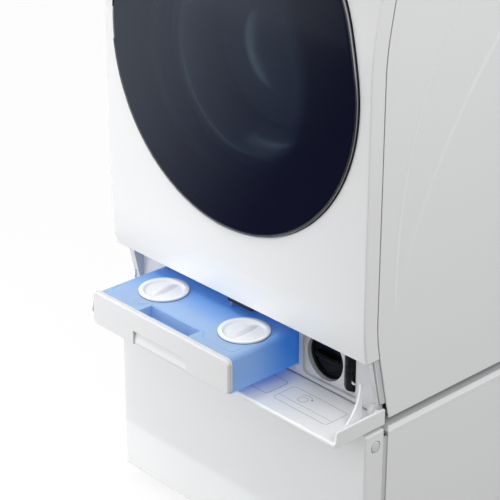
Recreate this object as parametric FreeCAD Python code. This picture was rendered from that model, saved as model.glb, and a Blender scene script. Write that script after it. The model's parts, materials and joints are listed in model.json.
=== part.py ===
"""A front-loading washer on a drawer-type pedestal washer, one STEP file for each piece.

Millimetres, +X right, +Y to the back, +Z up. Pieces are drawn with y = 0 at the lower edge of the
front panel and z = 0 on the floor, and save() moves them so that the origin is under the middle of
the whole machine. The pose is the one in use: detergent drawer out, service flap folded down.
"""
import FreeCAD, Part
import math
import os

V = FreeCAD.Vector
X_AXIS = V(1, 0, 0)
Y_AXIS = V(0, 1, 0)
Z_AXIS = V(0, 0, 1)

# Case
WIDTH = 600.0
FLAT_DEPTH = 599.5        # flat of the front to the back of the rear panel
SHEET = 1.5               # pressed sheet
SIDE_SHEET = 2.4          # side panels of the washer, with their emboss
SEAM = 2.0                # joint between the front panel and the side panels
EMBOSS = 1.6              # depth of the swept emboss
EMBOSS_SLOPE = 6.0        # width of its sloping edge
EMBOSS_MARGIN = 30.0      # to the rear edge of the side panel
EMBOSS_HEAD = 20.0        # to its top edge
EMBOSS_TIP_Y = 60.0
EMBOSS_TIP_RISE = 68.0    # lower edge of the front panel to the tip
UPPER_BOW = 80.0          # height of the bow of its upper edge
LOWER_BOW = 86.0

# Heights
FOOT_HEIGHT = 24.0
PEDESTAL_TOP = 344.0
STACK_GAP = 20.0          # feet between pedestal and washer
BAY_HEIGHT = 113.0        # service bay, from the washer's underside to the front panel
WASHER_HEIGHT = 850.0
TOP_HEIGHT = 14.0
TOP_EDGE = 5.0

# Front panel, seen from the side
FRONT_BULGE = 7.5         # the flat stands this far in front of the lower edge
TOE_HEIGHT = 68.0         # height over which the lower edge curls back
LEAN_OFFSET = 44.2        # door's centre to where the front starts to lean back
LEAN_RADIUS = 366.5
LEAN_ANGLE = 10.5
RETURN_DEPTH = 28.0       # side return of the front panel
PANEL_SHEET = 2.0
PANEL_EDGE = 3.0          # radius of the vertical edges

# Door
DOOR_MARGIN = 23.4        # door's edge to the side of the case
DOOR_DROP = 317.6         # top of the panel to the door's centre
DOOR_GAP = 3.0
LIP_WIDTH = 3.1           # black lip outside the bezel
BEZEL_WIDTH = 4.5
GLASS_PROUD = 4.5
BEZEL_PROUD = 5.0
LIP_PROUD = 2.0
GLASS_SEAT = 0.5          # back of the glass in front of the panel's surface
RIM_DEPTH = 14.0
RIM_WIDTH = 8.6           # rim outside the frame's body
FRAME_WIDTH = 18.0
FRAME_BACK = 44.0
COVER_SHEET = 6.0
BOWL_GAP = 4.0            # bowl to the gasket's lip
BOWL_TAPER = 34.0
BOWL_DEPTH = 62.0
BOWL_WALL = 5.0
BOWL_FLANGE = 14.0
BOWL_FIT = 1.0

# Door hinge and lock
HINGE_INSET = 4.6         # door's edge to the hinge pin
HINGE_Y = -8.0
HINGE_PIN = 2.0
RUN_FIT = 0.05            # radial clearance of a pin or shaft that turns
KNUCKLE = 3.0
KNUCKLE_HALF = 16.0
ARM_GAP = 1.0
ARM_HEIGHT = 6.0
ARM_WIDTH = 5.0
NOTCH_WIDTH = 18.6
NOTCH_MARGIN = 4.0
LATCH_INSET = 14.0        # inside of the frame to the latch hook
LATCH_WIDTH = 5.0
LATCH_REACH = 22.0
LATCH_HALF = 8.0
LATCH_ROOM = 6.0

# Door well and gasket
WELL_FLOOR = 50.0
WELL_SHEET = 2.0
MOUTH_MARGIN = 90.6       # door's edge to the mouth
GASKET_WALL = 4.0
GASKET_LIP = 16.0

# Tub, drum and drive
TUB_FRONT = 92.0
TUB_MARGIN = 38.0         # tub to the side of the case
TUB_WALL = 4.0
TUB_FRONT_DEPTH = 178.0   # front half of the tub
TUB_ROOM = 122.5          # back of the tub to the rear panel
TUB_FLANGE = 8.0
HUB_RADIUS = 42.0
HUB_LENGTH = 52.0
BEARING_RADIUS = 26.0
BEARING_WIDTH = 16.0
SHAFT_RADIUS = 15.0
DRUM_GAP = 19.0           # drum to the tub
DRUM_SHEET = 2.0
DRUM_FRONT_GAP = 16.0
DRUM_BACK_GAP = 36.0
DRUM_LIP = 4.0            # drum's mouth inside the gasket
LIFTER_COUNT = 3
LIFTER_HEIGHT = 36.0
LIFTER_WIDTH = 56.0
LIFTER_INSET = 20.0
SPIDER_DEPTH = 14.0
SPIDER_HUB = 38.0
SPIDER_ARM = 40.0
STATOR_RADIUS = 118.0
STATOR_DEPTH = 32.0
STATOR_TEETH = 24
ROTOR_AIR = 3.0
ROTOR_WALL = 11.0
ROTOR_DISC = 6.0
ROTOR_CLEAR = 2.0

# What carries the tub
WEIGHT_GAP = 10.0         # weight to the gasket
WEIGHT_INSET = 6.0        # weight to the tub's edge
WEIGHT_DEPTH = 30.0
WEIGHT_RISE = 70.0
EAR_INSET = 104.0         # ear to the tub's side
EAR_HALF = 17.0
EAR_PAD = 9.2             # ear's outer face above the tub's wall
SPRING_SETBACK = 30.0     # joint of the tub's halves to the springs
SPRING_RADIUS = 14.0
SPRING_WALL = 4.0
DAMPER_SETBACK = 75.0
DAMPER_RADIUS = 18.0
DAMPER_ROD = 8.0
DAMPER_BODY = 150.0
BEAM_DEPTH = 30.0
BEAM_HEIGHT = 20.0
BEAM_DROP = 2.0
BEAM_CLEAR = 4.0          # beam to the tub

# Service bay behind the flap
BAY_WALL_Y = 44.0
BAY_SHEET = 3.0
BAY_DEPTH = 246.0
BAY_SIDE_GAP = 5.6        # jamb to the inside of the side panel
BAY_TOP_GAP = 2.0
JAMB_WIDTH = 10.0
JAMB_TOP_Y = 20.0
JAMB_FOOT_Y = 43.0
RAIL_WIDTH = 10.0
RECESS_BESIDE = 45.0      # filter's centre to the left side of its recess
RECESS_WIDTH = 122.0
RECESS_FLOOR = 10.0       # above the washer's underside
RECESS_HEAD = 16.0        # below the front panel
RECESS_DEPTH = 6.0
RECESS_CORNER = 9.0
SLOT_CORNER = 6.0
FILTER_INSET = 129.0      # jamb's outside to the filter's centre
FILTER_DROP = 61.0        # front panel to the filter's centre
FILTER_HOLE = 40.0
FILTER_FIT = 0.5
FILTER_SINK = 7.0         # plate to the face of the cap
FILTER_LEDGE = 2.5        # ledge that the cap's flange seats on
COLLAR_WALL = 2.5
COLLAR_DEPTH = 12.0
FILTER_FLANGE = 4.0
FILTER_GRIP = 10.0
BASKET_FIT = 2.0
BASKET_WALL = 2.0
BASKET_LENGTH = 66.0
SLOT_BESIDE = 43.0        # filter's centre to the hose slot
SLOT_WIDTH = 25.0
SLOT_BOTTOM = 15.0
HOSE_RADIUS = 7.5
HOSE_PLUG = 9.5
HOSE_PLUG_LENGTH = 14.0

# Detergent drawer
TANK_INSET = 73.0         # jamb's outside to the tank
TANK_BESIDE = 12.0        # tank to the filter's recess
TANK_FRONT = -103.0
TANK_LENGTH = 233.0
TANK_BOTTOM = 21.0        # above the washer's underside
TANK_HEIGHT = 64.0
TANK_WALL = 3.0
TANK_EDGE = 10.0
RUNNER_FIT = 0.3
BAY_FIT = 3.0             # tank to the sides of its opening
CAP_HEADROOM = 10.0       # tank's top to the head of its opening
DIVIDER_OFFSET = 2.0      # divider to the left of the middle between the caps
POCKET_LEFT_INSET = 104.0
POCKET_RIGHT_INSET = 99.0
POCKET_LENGTH = 26.0
POCKET_DEPTH = 20.0
FRONT_OVERHANG = 6.0      # drawer front beyond the tank's sides
FRONT_SHEET = 10.0
FRONT_HEIGHT = 60.0
FRONT_DROP = 1.0          # top of the drawer front below the tank's top
FRONT_CORNER = 9.0
FRONT_LAYER = 6.0         # outer layer of the drawer front
FRONT_GROOVE = 0.8        # groove between its two layers
FRONT_EDGE = 2.0
NOTCH_OVERLAP = 5.0       # grip notch beyond the pocket
NOTCH_HEIGHT = 25.0
NOTCH_DEPTH = 6.5
CAP_LEFT_INSET = 77.0     # tank's side to the cap's centre
CAP_RIGHT_INSET = 50.0
CAP_Y = -26.5
CAP_RADIUS = 43.0
CAP_SKIRT = 38.0
CAP_SKIRT_DEPTH = 12.0
CAP_HEIGHT = 4.0
CAP_FIT = 0.3
CAP_DISH = 34.0
CAP_DISH_DEPTH = 2.0
CAP_RIB = 4.0
SENSOR_INSET = 78.0       # tank's right side to the bracket
SENSOR_WIDTH = 56.0
SENSOR_REACH = 30.0
SENSOR_HEIGHT = 10.0
SENSOR_RISE = 11.0        # tank's top to the underside of the bracket
SENSOR_PIN = 4.0
SENSOR_PIN_INSET = 4.5
SENSOR_PIN_Y = 18.5
SENSOR_PIN_GAP = 1.6

# Service flap
FLAP_FRONT = -66.0
FLAP_BACK = 45.0
FLAP_DROP = 8.0           # outside face below the washer's underside
FLAP_SHEET = 9.0
CHEEK_SHEET = 5.0
CHEEK_HEIGHT = 27.0
CHEEK_SLANT = 3.0
CHEEK_ROUND = 1.5
FLAP_EDGE = 3.5
FLAP_AXIS_Y = 32.0
FLAP_AXIS_RISE = 16.0     # above the washer's underside
FLAP_PIN = 4.0
FLAP_BOSS = 9.0
FLAP_PIN_PLAY = 3.0
FIN_GAP = 7.0             # fin to the jamb
FIN_SHEET = 4.0
FIN_HEIGHT = 62.0
FIN_BASE = 34.0
FIN_FRONT = -14.0
FIN_TIP = 4.0

# Pumps, valve and electrics
PUMP_WALL = 2.5
PUMP_MOTOR = 34.0
PUMP_MOTOR_LENGTH = 60.0
DRAIN_CLEAR = 1.0         # outlet pipe to the damper
DRAIN_RISE = 86.0
DRAIN_RADIUS = 11.0
DRAIN_PIPE = 13.0
DRAIN_STUB = 25.0
PANEL_HOLE_FIT = 0.4
SUMP_BESIDE = 23.0        # filter's centre to the sump
SUMP_Y = 130.0
SUMP_RADIUS = 20.0
SUMP_STUB = 14.0          # pump's stub above the bay
SUMP_NECK = 18.5          # sump's lower end below the tub's wall
INLET_INSET = 88.0        # side of the case to the nearer inlet
INLET_PITCH = 44.0
INLET_DROP = 50.0         # top of the rear panel to the inlets
INLET_RADIUS = 13.2       # three-quarter inch pipe thread
INLET_STUB = 20.0
INLET_COLLAR = 16.0
INLET_BODY = 36.0
INLET_HALF = 24.0
DOSER_CLEAR = 20.0        # dosing pump to the damper
DOSER_WIDTH = 120.0
DOSER_GAP = 20.0          # bay to the dosing pump
DOSER_DEPTH = 60.0
DOSER_HEIGHT = 70.0
CONTROL_WIDTH = 150.0
CONTROL_DEPTH = 180.0
CONTROL_HEIGHT = 44.0
GLAND_INSET = 60.0
GLAND_RISE = 106.0        # washer's underside to the mains gland
GLAND_RADIUS = 10.0
GLAND_FLANGE = 16.0
GLAND_LENGTH = 16.0
LOCK_MARGIN = 4.0
LOCK_DEPTH = 30.0
LOCK_HALF = 32.0

# Washer feet, pedestal feet
FOOT_RADIUS = 20.0
FOOT_PAD = 8.0
FOOT_STEM = 6.0
FOOT_INSET = 50.0
FOOT_SETBACK = 56.0       # front of the case to the front feet
STACK_FOOT = 18.0

# Pedestal case
CASE_FRONT = 54.0
CASE_LID = 12.0
CASE_BEVEL = 6.0
LID_SHEET = 2.0
BASE_SHEET = 3.0
RAIL_DEPTH = 14.0
RAIL_HEIGHT = 36.0
RAIL_Z = 150.0
RAIL_SETBACK = 16.0
RAIL_ROOM = 30.5          # rail's end to the rear panel
GROOVE_DEPTH = 10.0
GROOVE_HEIGHT = 23.0
SLIDE_FIT = 0.4

# Pedestal drawer
FACE_Y = 4.7
FACE_BOTTOM = 28.0
FACE_TOP = 347.0
FACE_RETURN = 40.0
FACE_SHEET = 2.5
FACE_EDGE = 4.0
TRAY_Z = 92.0
TRAY_SHEET = 4.0
TRAY_GAP = 12.5           # tray to the rails
TRAY_ROOM = 35.5          # tray to the rear panel
TRAY_RISE = 78.0
BULKHEAD_SHEET = 3.0
MINI_TUB_MARGIN = 27.0    # small tub to the tray's ends
MINI_TUB_WALL = 4.0
MINI_TUB_HEIGHT = 186.0
MINI_DRUM_GAP = 16.0
MINI_DRUM_SHEET = 2.5
MINI_DRUM_LIFT = 16.0     # drum's floor above the tub's
MINI_DRUM_DROP = 8.0      # drum's rim below the tub's
MINI_SHAFT = 10.0
MINI_VANES = 4
VANE_HEIGHT = 14.0
VANE_WIDTH = 18.0
MINI_MOTOR_RADIUS = 60.0
MINI_MOTOR_HEIGHT = 42.0
LID_FIT = 0.3
LID_HEIGHT = 8.0
LID_OVERHANG = 4.0
LID_KNOB = 16.0
LID_KNOB_HEIGHT = 6.0
LID_BARREL = 6.0
LID_PIN = 3.0
LID_BARREL_HALF = 30.0
LID_LUG = 6.0
LID_BARREL_GAP = 8.0      # lid's rear edge to the barrel's axis

# Button on the drawer's right-hand return
BUTTON_RADIUS = 10.0
BUTTON_FIT = 0.3
BUTTON_Y = 27.5
BUTTON_DROP = 26.0        # below the top of the drawer front
BUTTON_PROUD = 1.0
BUTTON_FLANGE = 2.0
BUTTON_BASE = 3.0

# Worked out from the sizes above
HALF = WIDTH / 2
FRONT_Y = -FRONT_BULGE
REAR_Y = FRONT_Y + FLAT_DEPTH
REAR_IN = REAR_Y - SHEET
WASHER_BOTTOM = PEDESTAL_TOP + STACK_GAP
PANEL_BOTTOM = WASHER_BOTTOM + BAY_HEIGHT
WASHER_TOP = WASHER_BOTTOM + WASHER_HEIGHT
PANEL_TOP = WASHER_TOP - TOP_HEIGHT
DOOR_Z = PANEL_TOP - DOOR_DROP
LEAN_START = DOOR_Z + LEAN_OFFSET
SIDE_IN = HALF - SIDE_SHEET
CASE_IN = HALF - SHEET
BASE_TOP = WASHER_BOTTOM + BASE_SHEET
BAY_HALF = SIDE_IN - BAY_SIDE_GAP
BAY_TOP = PANEL_BOTTOM - BAY_TOP_GAP
BAY_END = BAY_WALL_Y + BAY_DEPTH
PLATE_Y = BAY_WALL_Y + RECESS_DEPTH
COLLAR_END = PLATE_Y + COLLAR_DEPTH
FILTER_FACE_Y = PLATE_Y + FILTER_SINK
FILTER_SEAT_Y = FILTER_FACE_Y + FILTER_FLANGE + RUNNER_FIT
FILTER_Z = PANEL_BOTTOM - FILTER_DROP
TANK_Z = WASHER_BOTTOM + TANK_BOTTOM
TANK_TOP = TANK_Z + TANK_HEIGHT
TANK_END = TANK_FRONT + TANK_LENGTH
FILTER_X = BAY_HALF - FILTER_INSET
RECESS_LEFT = FILTER_X - RECESS_BESIDE
RECESS_RIGHT = RECESS_LEFT + RECESS_WIDTH
SLOT_LEFT = FILTER_X + SLOT_BESIDE
SLOT_RIGHT = SLOT_LEFT + SLOT_WIDTH
TANK_LEFT = TANK_INSET - BAY_HALF
TANK_RIGHT = RECESS_LEFT - TANK_BESIDE
TANK_X = (TANK_LEFT + TANK_RIGHT) / 2
FRONT_HALF = TANK_RIGHT - TANK_X + FRONT_OVERHANG
CAP_X = (TANK_LEFT + CAP_LEFT_INSET, TANK_RIGHT - CAP_RIGHT_INSET)
DIVIDER_X = (CAP_X[0] + CAP_X[1]) / 2 - DIVIDER_OFFSET
POCKET_LEFT = TANK_LEFT + POCKET_LEFT_INSET
POCKET_RIGHT = TANK_RIGHT - POCKET_RIGHT_INSET
NOTCH_LEFT = POCKET_LEFT - NOTCH_OVERLAP
NOTCH_RIGHT = POCKET_RIGHT + NOTCH_OVERLAP
SENSOR_RIGHT = TANK_RIGHT - SENSOR_INSET
SENSOR_LEFT = SENSOR_RIGHT - SENSOR_WIDTH
SENSOR_PIN_X = SENSOR_LEFT + SENSOR_PIN_INSET
SUMP_X = FILTER_X - SUMP_BESIDE
INLET_X = (HALF - INLET_INSET - INLET_PITCH, HALF - INLET_INSET)
INLET_Z = PANEL_TOP - INLET_DROP
FLAP_BOTTOM = WASHER_BOTTOM - FLAP_DROP
FLAP_TOP = FLAP_BOTTOM + FLAP_SHEET
FLAP_AXIS_Z = WASHER_BOTTOM + FLAP_AXIS_RISE
DOOR_RADIUS = HALF - DOOR_MARGIN
MOUTH_RADIUS = DOOR_RADIUS - MOUTH_MARGIN
WELL_RADIUS = DOOR_RADIUS + DOOR_GAP
WELL_OUTER = WELL_RADIUS + WELL_SHEET
BEZEL_RADIUS = DOOR_RADIUS - LIP_WIDTH
GLASS_RADIUS = BEZEL_RADIUS - BEZEL_WIDTH
FRAME_OUTER = DOOR_RADIUS - RIM_WIDTH
FRAME_INNER = FRAME_OUTER - FRAME_WIDTH
BOWL_RADIUS = MOUTH_RADIUS - GASKET_LIP - BOWL_GAP
BOWL_END_RADIUS = BOWL_RADIUS - BOWL_TAPER
HINGE_X = HINGE_INSET - DOOR_RADIUS
NOTCH_X = NOTCH_WIDTH - DOOR_RADIUS
LATCH_X = FRAME_INNER - LATCH_INSET
TUB_RADIUS = HALF - TUB_MARGIN
TUB_BACK = REAR_IN - TUB_ROOM
HUB_END = TUB_BACK + HUB_LENGTH
DRUM_RADIUS = TUB_RADIUS - DRUM_GAP
DRUM_FRONT = TUB_FRONT + DRUM_FRONT_GAP
DRUM_BACK = TUB_BACK - DRUM_BACK_GAP
DRUM_MOUTH = MOUTH_RADIUS - DRUM_LIP
WEIGHT_INNER = MOUTH_RADIUS + GASKET_WALL + WEIGHT_GAP
WEIGHT_OUTER = TUB_RADIUS - WEIGHT_INSET
EAR_X = TUB_RADIUS - EAR_INSET
DRAIN_X = EAR_X + DAMPER_RADIUS + DRAIN_CLEAR + DRAIN_PIPE
DOSER_LEFT = DAMPER_RADIUS + DOSER_CLEAR - EAR_X
DOSER_RIGHT = DOSER_LEFT + DOSER_WIDTH
EAR_REACH = math.sqrt(TUB_RADIUS ** 2 - (EAR_X - EAR_HALF) ** 2) + EAR_PAD
SUMP_DROP = math.sqrt(TUB_RADIUS ** 2 - SUMP_X ** 2) + SUMP_NECK
TUB_SPLIT = TUB_FRONT + TUB_FRONT_DEPTH
SPRING_Y = TUB_SPLIT + SPRING_SETBACK
DAMPER_Y = TUB_SPLIT + DAMPER_SETBACK
FIN_X = BAY_HALF - JAMB_WIDTH - FIN_GAP
DOSER_Y = BAY_END + DOSER_GAP
GLAND_X = GLAND_INSET - HALF
GLAND_Z = WASHER_BOTTOM + GLAND_RISE
FOOT_X = HALF - FOOT_INSET
FOOT_FRONT = CASE_FRONT + FOOT_SETBACK
FOOT_REAR = REAR_IN - FOOT_INSET
RAIL_START = CASE_FRONT + RAIL_SETBACK
RAIL_END = REAR_IN - RAIL_ROOM
FACE_BACK = FACE_Y + FACE_RETURN
TRAY_HALF = CASE_IN - RAIL_DEPTH - TRAY_GAP
TRAY_END = REAR_IN - TRAY_ROOM
MINI_Y = (FACE_BACK + TRAY_END) / 2
MINI_TUB_RADIUS = (TRAY_END - FACE_BACK) / 2 - MINI_TUB_MARGIN
MINI_DRUM_RADIUS = MINI_TUB_RADIUS - MINI_DRUM_GAP
MINI_FLOOR = TRAY_Z + TRAY_SHEET
MINI_RIM = MINI_FLOOR + MINI_TUB_HEIGHT
MINI_DRUM_FLOOR = MINI_FLOOR + MINI_DRUM_LIFT
MINI_DRUM_RIM = MINI_RIM - MINI_DRUM_DROP
NOTCH_HALF = KNUCKLE_HALF + ARM_GAP + ARM_HEIGHT + NOTCH_MARGIN
FACE_HALF = HALF - BUTTON_PROUD
BUTTON_Z = FACE_TOP - BUTTON_DROP
LID_AXIS_Y = MINI_Y + MINI_TUB_RADIUS + LID_OVERHANG + LID_BARREL_GAP
LID_AXIS_Z = MINI_RIM + LID_FIT + LID_HEIGHT / 2
DRAWER_FACE_Y = TANK_FRONT - FRONT_SHEET
REAR_REACH = REAR_Y + DRAIN_STUB
ORIGIN_Y = (DRAWER_FACE_Y + REAR_REACH) / 2
FAR = 2000.0


def box(x0, x1, y0, y1, z0, z1):
    return Part.makeBox(x1 - x0, y1 - y0, z1 - z0, V(x0, y0, z0))


def rod_x(y, z, radius, x0, x1):
    return Part.makeCylinder(radius, x1 - x0, V(x0, y, z), X_AXIS)


def rod_y(x, z, radius, y0, y1):
    return Part.makeCylinder(radius, y1 - y0, V(x, y0, z), Y_AXIS)


def rod_z(x, y, radius, z0, z1):
    return Part.makeCylinder(radius, z1 - z0, V(x, y, z0), Z_AXIS)


def ring_y(x, z, inner, outer, y0, y1):
    return rod_y(x, z, outer, y0, y1).cut(rod_y(x, z, inner, y0, y1))


def ring_z(x, y, inner, outer, z0, z1):
    return rod_z(x, y, outer, z0, z1).cut(rod_z(x, y, inner, z0, z1))


def prism_x(points, x0, x1):
    """Polygon of (y, z) points, extruded from x0 to x1."""
    corners = [V(x0, y, z) for y, z in points]
    return Part.Face(Part.makePolygon(corners + corners[:1])).extrude(V(x1 - x0, 0, 0))


def turned_y(points, x, z):
    """Closed outline of (radius, y) points, turned about an axis along Y."""
    corners = [V(x + r, y, z) for r, y in points]
    return Part.Face(Part.makePolygon(corners + corners[:1])).revolve(V(x, 0, z), Y_AXIS, 360)


def union(*shapes):
    return shapes[0].fuse(list(shapes[1:])).removeSplitter()


def mirrored(shape):
    return shape.mirror(V(0, 0, 0), X_AXIS)


def edges_where(shape, test):
    """Edges whose middle point passes the test."""
    found = []
    for edge in shape.Edges:
        middle = edge.valueAt((edge.FirstParameter + edge.LastParameter) / 2)
        if test(middle):
            found.append(edge)
    return found


def near(a, b):
    return abs(a - b) < 0.01


def front_curve(shift):
    """Edges of the front's side view, lower edge to top, moved back by shift."""
    toe_radius = (TOE_HEIGHT ** 2 + FRONT_BULGE ** 2) / (2 * FRONT_BULGE)
    toe_z = PANEL_BOTTOM + TOE_HEIGHT
    toe_angle = math.asin(TOE_HEIGHT / toe_radius)
    lean = math.radians(LEAN_ANGLE)

    def on_toe(angle):
        return V(0, FRONT_Y + toe_radius * (1 - math.cos(angle)) + shift,
                 toe_z - toe_radius * math.sin(angle))

    def on_lean(angle):
        return V(0, FRONT_Y + LEAN_RADIUS * (1 - math.cos(angle)) + shift,
                 LEAN_START + LEAN_RADIUS * math.sin(angle))

    bend_end = on_lean(lean)
    head = V(0, bend_end.y + (PANEL_TOP - bend_end.z) * math.tan(lean), PANEL_TOP)
    return [Part.Arc(on_toe(toe_angle), on_toe(toe_angle / 2), on_toe(0)).toShape(),
            Part.makeLine(on_toe(0), on_lean(0)),
            Part.Arc(on_lean(0), on_lean(lean / 2), bend_end).toShape(),
            Part.makeLine(bend_end, head)]


def front_band(front, back, half):
    """Solid between the front curve moved back by front and by back, as wide as half each way."""
    near_edges = front_curve(front)
    far_edges = front_curve(back)
    foot = Part.makeLine(near_edges[0].Vertexes[0].Point, far_edges[0].Vertexes[0].Point)
    head = Part.makeLine(near_edges[-1].Vertexes[1].Point, far_edges[-1].Vertexes[1].Point)
    wire = Part.Wire(Part.__sortEdges__(near_edges + [head] + far_edges + [foot]))
    face = Part.Face(wire)
    face.translate(V(-half, 0, 0))
    return face.extrude(V(2 * half, 0, 0))


def door_disc(inner, outer, front, back):
    """Ring of the door that follows the front curve between two depths."""
    band = front_band(front, back, HALF)
    disc = band.common(rod_y(0, DOOR_Z, outer, -FAR / 10, FAR / 10))
    if inner > 0:
        disc = disc.cut(rod_y(0, DOOR_Z, inner, -FAR / 10, FAR / 10))
    return disc


def behind_front(shape, depth):
    """What is left of a shape behind the front curve moved back by depth."""
    return shape.cut(front_band(depth - FAR / 5, depth, HALF))


# Pedestal case

def foot_places():
    return [(x, y) for x in (-FOOT_X, FOOT_X) for y in (FOOT_FRONT, FOOT_REAR)]


def pedestal_feet():
    feet = []
    for x, y in foot_places():
        feet.append(union(rod_z(x, y, FOOT_RADIUS, 0, FOOT_PAD),
                          rod_z(x, y, FOOT_STEM, FOOT_PAD, FOOT_HEIGHT)))
    return Part.makeCompound(feet)


def pedestal_base():
    plate = box(-CASE_IN, CASE_IN, CASE_FRONT, REAR_IN, FOOT_HEIGHT, FOOT_HEIGHT + BASE_SHEET)
    lip = box(-CASE_IN, CASE_IN, CASE_FRONT, CASE_FRONT + BASE_SHEET, FOOT_HEIGHT,
              FOOT_HEIGHT + 4 * BASE_SHEET)
    return union(plate, lip)


def pedestal_side_right():
    return box(CASE_IN, HALF, CASE_FRONT, REAR_Y, FOOT_HEIGHT, PEDESTAL_TOP - CASE_LID)


def pedestal_rear_panel():
    return box(-CASE_IN, CASE_IN, REAR_IN, REAR_Y, FOOT_HEIGHT, PEDESTAL_TOP - CASE_LID)


def pedestal_top_plate():
    low = PEDESTAL_TOP - CASE_LID
    lid = box(-HALF, HALF, CASE_FRONT, REAR_Y, low, PEDESTAL_TOP)
    bevelled = edges_where(lid, lambda p: near(p.z, PEDESTAL_TOP) and not near(p.y, REAR_Y))
    lid = lid.makeChamfer(CASE_BEVEL, bevelled)
    inset = CASE_BEVEL + LID_SHEET
    return lid.cut(box(inset - HALF, HALF - inset, CASE_FRONT + inset, REAR_IN, low,
                       PEDESTAL_TOP - LID_SHEET))


def pedestal_outer_rails():
    inner = CASE_IN - RAIL_DEPTH
    rail = box(inner, CASE_IN, RAIL_START, RAIL_END, RAIL_Z - RAIL_HEIGHT / 2, RAIL_Z + RAIL_HEIGHT / 2)
    groove = box(inner, inner + GROOVE_DEPTH, RAIL_START, RAIL_END, RAIL_Z - GROOVE_HEIGHT / 2,
                 RAIL_Z + GROOVE_HEIGHT / 2)
    rail = rail.cut(groove)
    return Part.makeCompound([rail, mirrored(rail)])


# Pedestal drawer

def pedestal_drawer_front():
    face = box(-FACE_HALF, FACE_HALF, FACE_Y, FACE_BACK, FACE_BOTTOM, FACE_TOP)
    rounded = edges_where(face, lambda p: not near(p.y, FACE_BACK))
    face = face.makeFillet(FACE_EDGE, rounded)
    inside = FACE_HALF - FACE_SHEET
    face = face.cut(box(-inside, inside, FACE_Y + FACE_SHEET, FACE_BACK, FACE_BOTTOM + FACE_SHEET,
                        FACE_TOP - FACE_SHEET))
    return face.cut(rod_x(BUTTON_Y, BUTTON_Z, BUTTON_RADIUS + BUTTON_FIT, inside, FACE_HALF))


def pedestal_drawer_tray():
    inside = FACE_HALF - FACE_SHEET
    low = FACE_BOTTOM + FACE_SHEET
    bulkhead = box(-inside, inside, FACE_BACK - BULKHEAD_SHEET, FACE_BACK, low, MINI_RIM)
    floor = box(-TRAY_HALF, TRAY_HALF, FACE_BACK, TRAY_END, TRAY_Z, MINI_FLOOR)
    wall = box(TRAY_HALF - TRAY_SHEET, TRAY_HALF, FACE_BACK, TRAY_END, TRAY_Z, TRAY_Z + TRAY_RISE)
    tongue_half = GROOVE_HEIGHT / 2 - SLIDE_FIT
    reach = CASE_IN - RAIL_DEPTH + GROOVE_DEPTH - SLIDE_FIT
    tongue = box(TRAY_HALF, reach, RAIL_START, TRAY_END, RAIL_Z - tongue_half, RAIL_Z + tongue_half)
    tray = union(bulkhead, floor, wall, mirrored(wall), tongue, mirrored(tongue))
    return tray.cut(rod_z(0, MINI_Y, MINI_MOTOR_RADIUS / 2, TRAY_Z, MINI_FLOOR))


def mini_tub():
    inner_floor = MINI_FLOOR + MINI_TUB_WALL
    tub = rod_z(0, MINI_Y, MINI_TUB_RADIUS, MINI_FLOOR, MINI_RIM)
    tub = tub.cut(rod_z(0, MINI_Y, MINI_TUB_RADIUS - MINI_TUB_WALL, inner_floor, MINI_RIM))
    tub = tub.cut(rod_z(0, MINI_Y, MINI_SHAFT + RUN_FIT, MINI_FLOOR, inner_floor))
    lug_start = LID_BARREL_HALF + SLIDE_FIT
    lug_end = lug_start + LID_LUG
    lug = box(lug_start, lug_end, MINI_Y + MINI_TUB_RADIUS - 2 * LID_OVERHANG, LID_AXIS_Y + LID_BARREL,
              MINI_RIM - 2 * LID_BARREL, LID_AXIS_Z + LID_BARREL)
    lug = lug.cut(box(lug_start, lug_end, 0, LID_AXIS_Y - LID_BARREL, MINI_RIM, FAR))
    lug = lug.cut(rod_z(0, MINI_Y, MINI_TUB_RADIUS - MINI_TUB_WALL / 2, MINI_FLOOR, MINI_RIM))
    pin = rod_x(LID_AXIS_Y, LID_AXIS_Z, LID_PIN, -lug_end, lug_end)
    return union(tub, lug, mirrored(lug), pin)


def mini_motor():
    low = TRAY_Z - MINI_MOTOR_HEIGHT
    motor = rod_z(0, MINI_Y, MINI_MOTOR_RADIUS, low, TRAY_Z)
    return motor.cut(rod_z(0, MINI_Y, MINI_SHAFT + RUN_FIT, low, TRAY_Z))


def mini_drum():
    drum = rod_z(0, MINI_Y, MINI_DRUM_RADIUS, MINI_DRUM_FLOOR, MINI_DRUM_RIM)
    floor_top = MINI_DRUM_FLOOR + MINI_DRUM_SHEET
    drum = drum.cut(rod_z(0, MINI_Y, MINI_DRUM_RADIUS - MINI_DRUM_SHEET, floor_top, MINI_DRUM_RIM))
    shaft = rod_z(0, MINI_Y, MINI_SHAFT, TRAY_Z - MINI_MOTOR_HEIGHT, MINI_DRUM_FLOOR)
    vanes = []
    for index in range(MINI_VANES):
        vane = box(0, MINI_DRUM_RADIUS / 2, MINI_Y - VANE_WIDTH / 2, MINI_Y + VANE_WIDTH / 2,
                   floor_top, floor_top + VANE_HEIGHT)
        vane.rotate(V(0, MINI_Y, 0), Z_AXIS, 360 / MINI_VANES * index)
        vanes.append(vane)
    return union(drum, shaft, *vanes)


def mini_tub_lid():
    low = MINI_RIM + LID_FIT
    radius = MINI_TUB_RADIUS + LID_OVERHANG
    disc = rod_z(0, MINI_Y, radius, low, low + LID_HEIGHT)
    knob = rod_z(0, MINI_Y - radius * 0.75, LID_KNOB, low + LID_HEIGHT, low + LID_HEIGHT + LID_KNOB_HEIGHT)
    tab = box(-LID_BARREL_HALF, LID_BARREL_HALF, MINI_Y + radius - 2 * LID_BARREL, LID_AXIS_Y,
              low, low + LID_HEIGHT)
    barrel = rod_x(LID_AXIS_Y, LID_AXIS_Z, LID_BARREL, -LID_BARREL_HALF, LID_BARREL_HALF)
    bore = rod_x(LID_AXIS_Y, LID_AXIS_Z, LID_PIN + RUN_FIT, -LID_BARREL_HALF, LID_BARREL_HALF)
    return union(disc, knob, tab, barrel).cut(bore)


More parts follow.
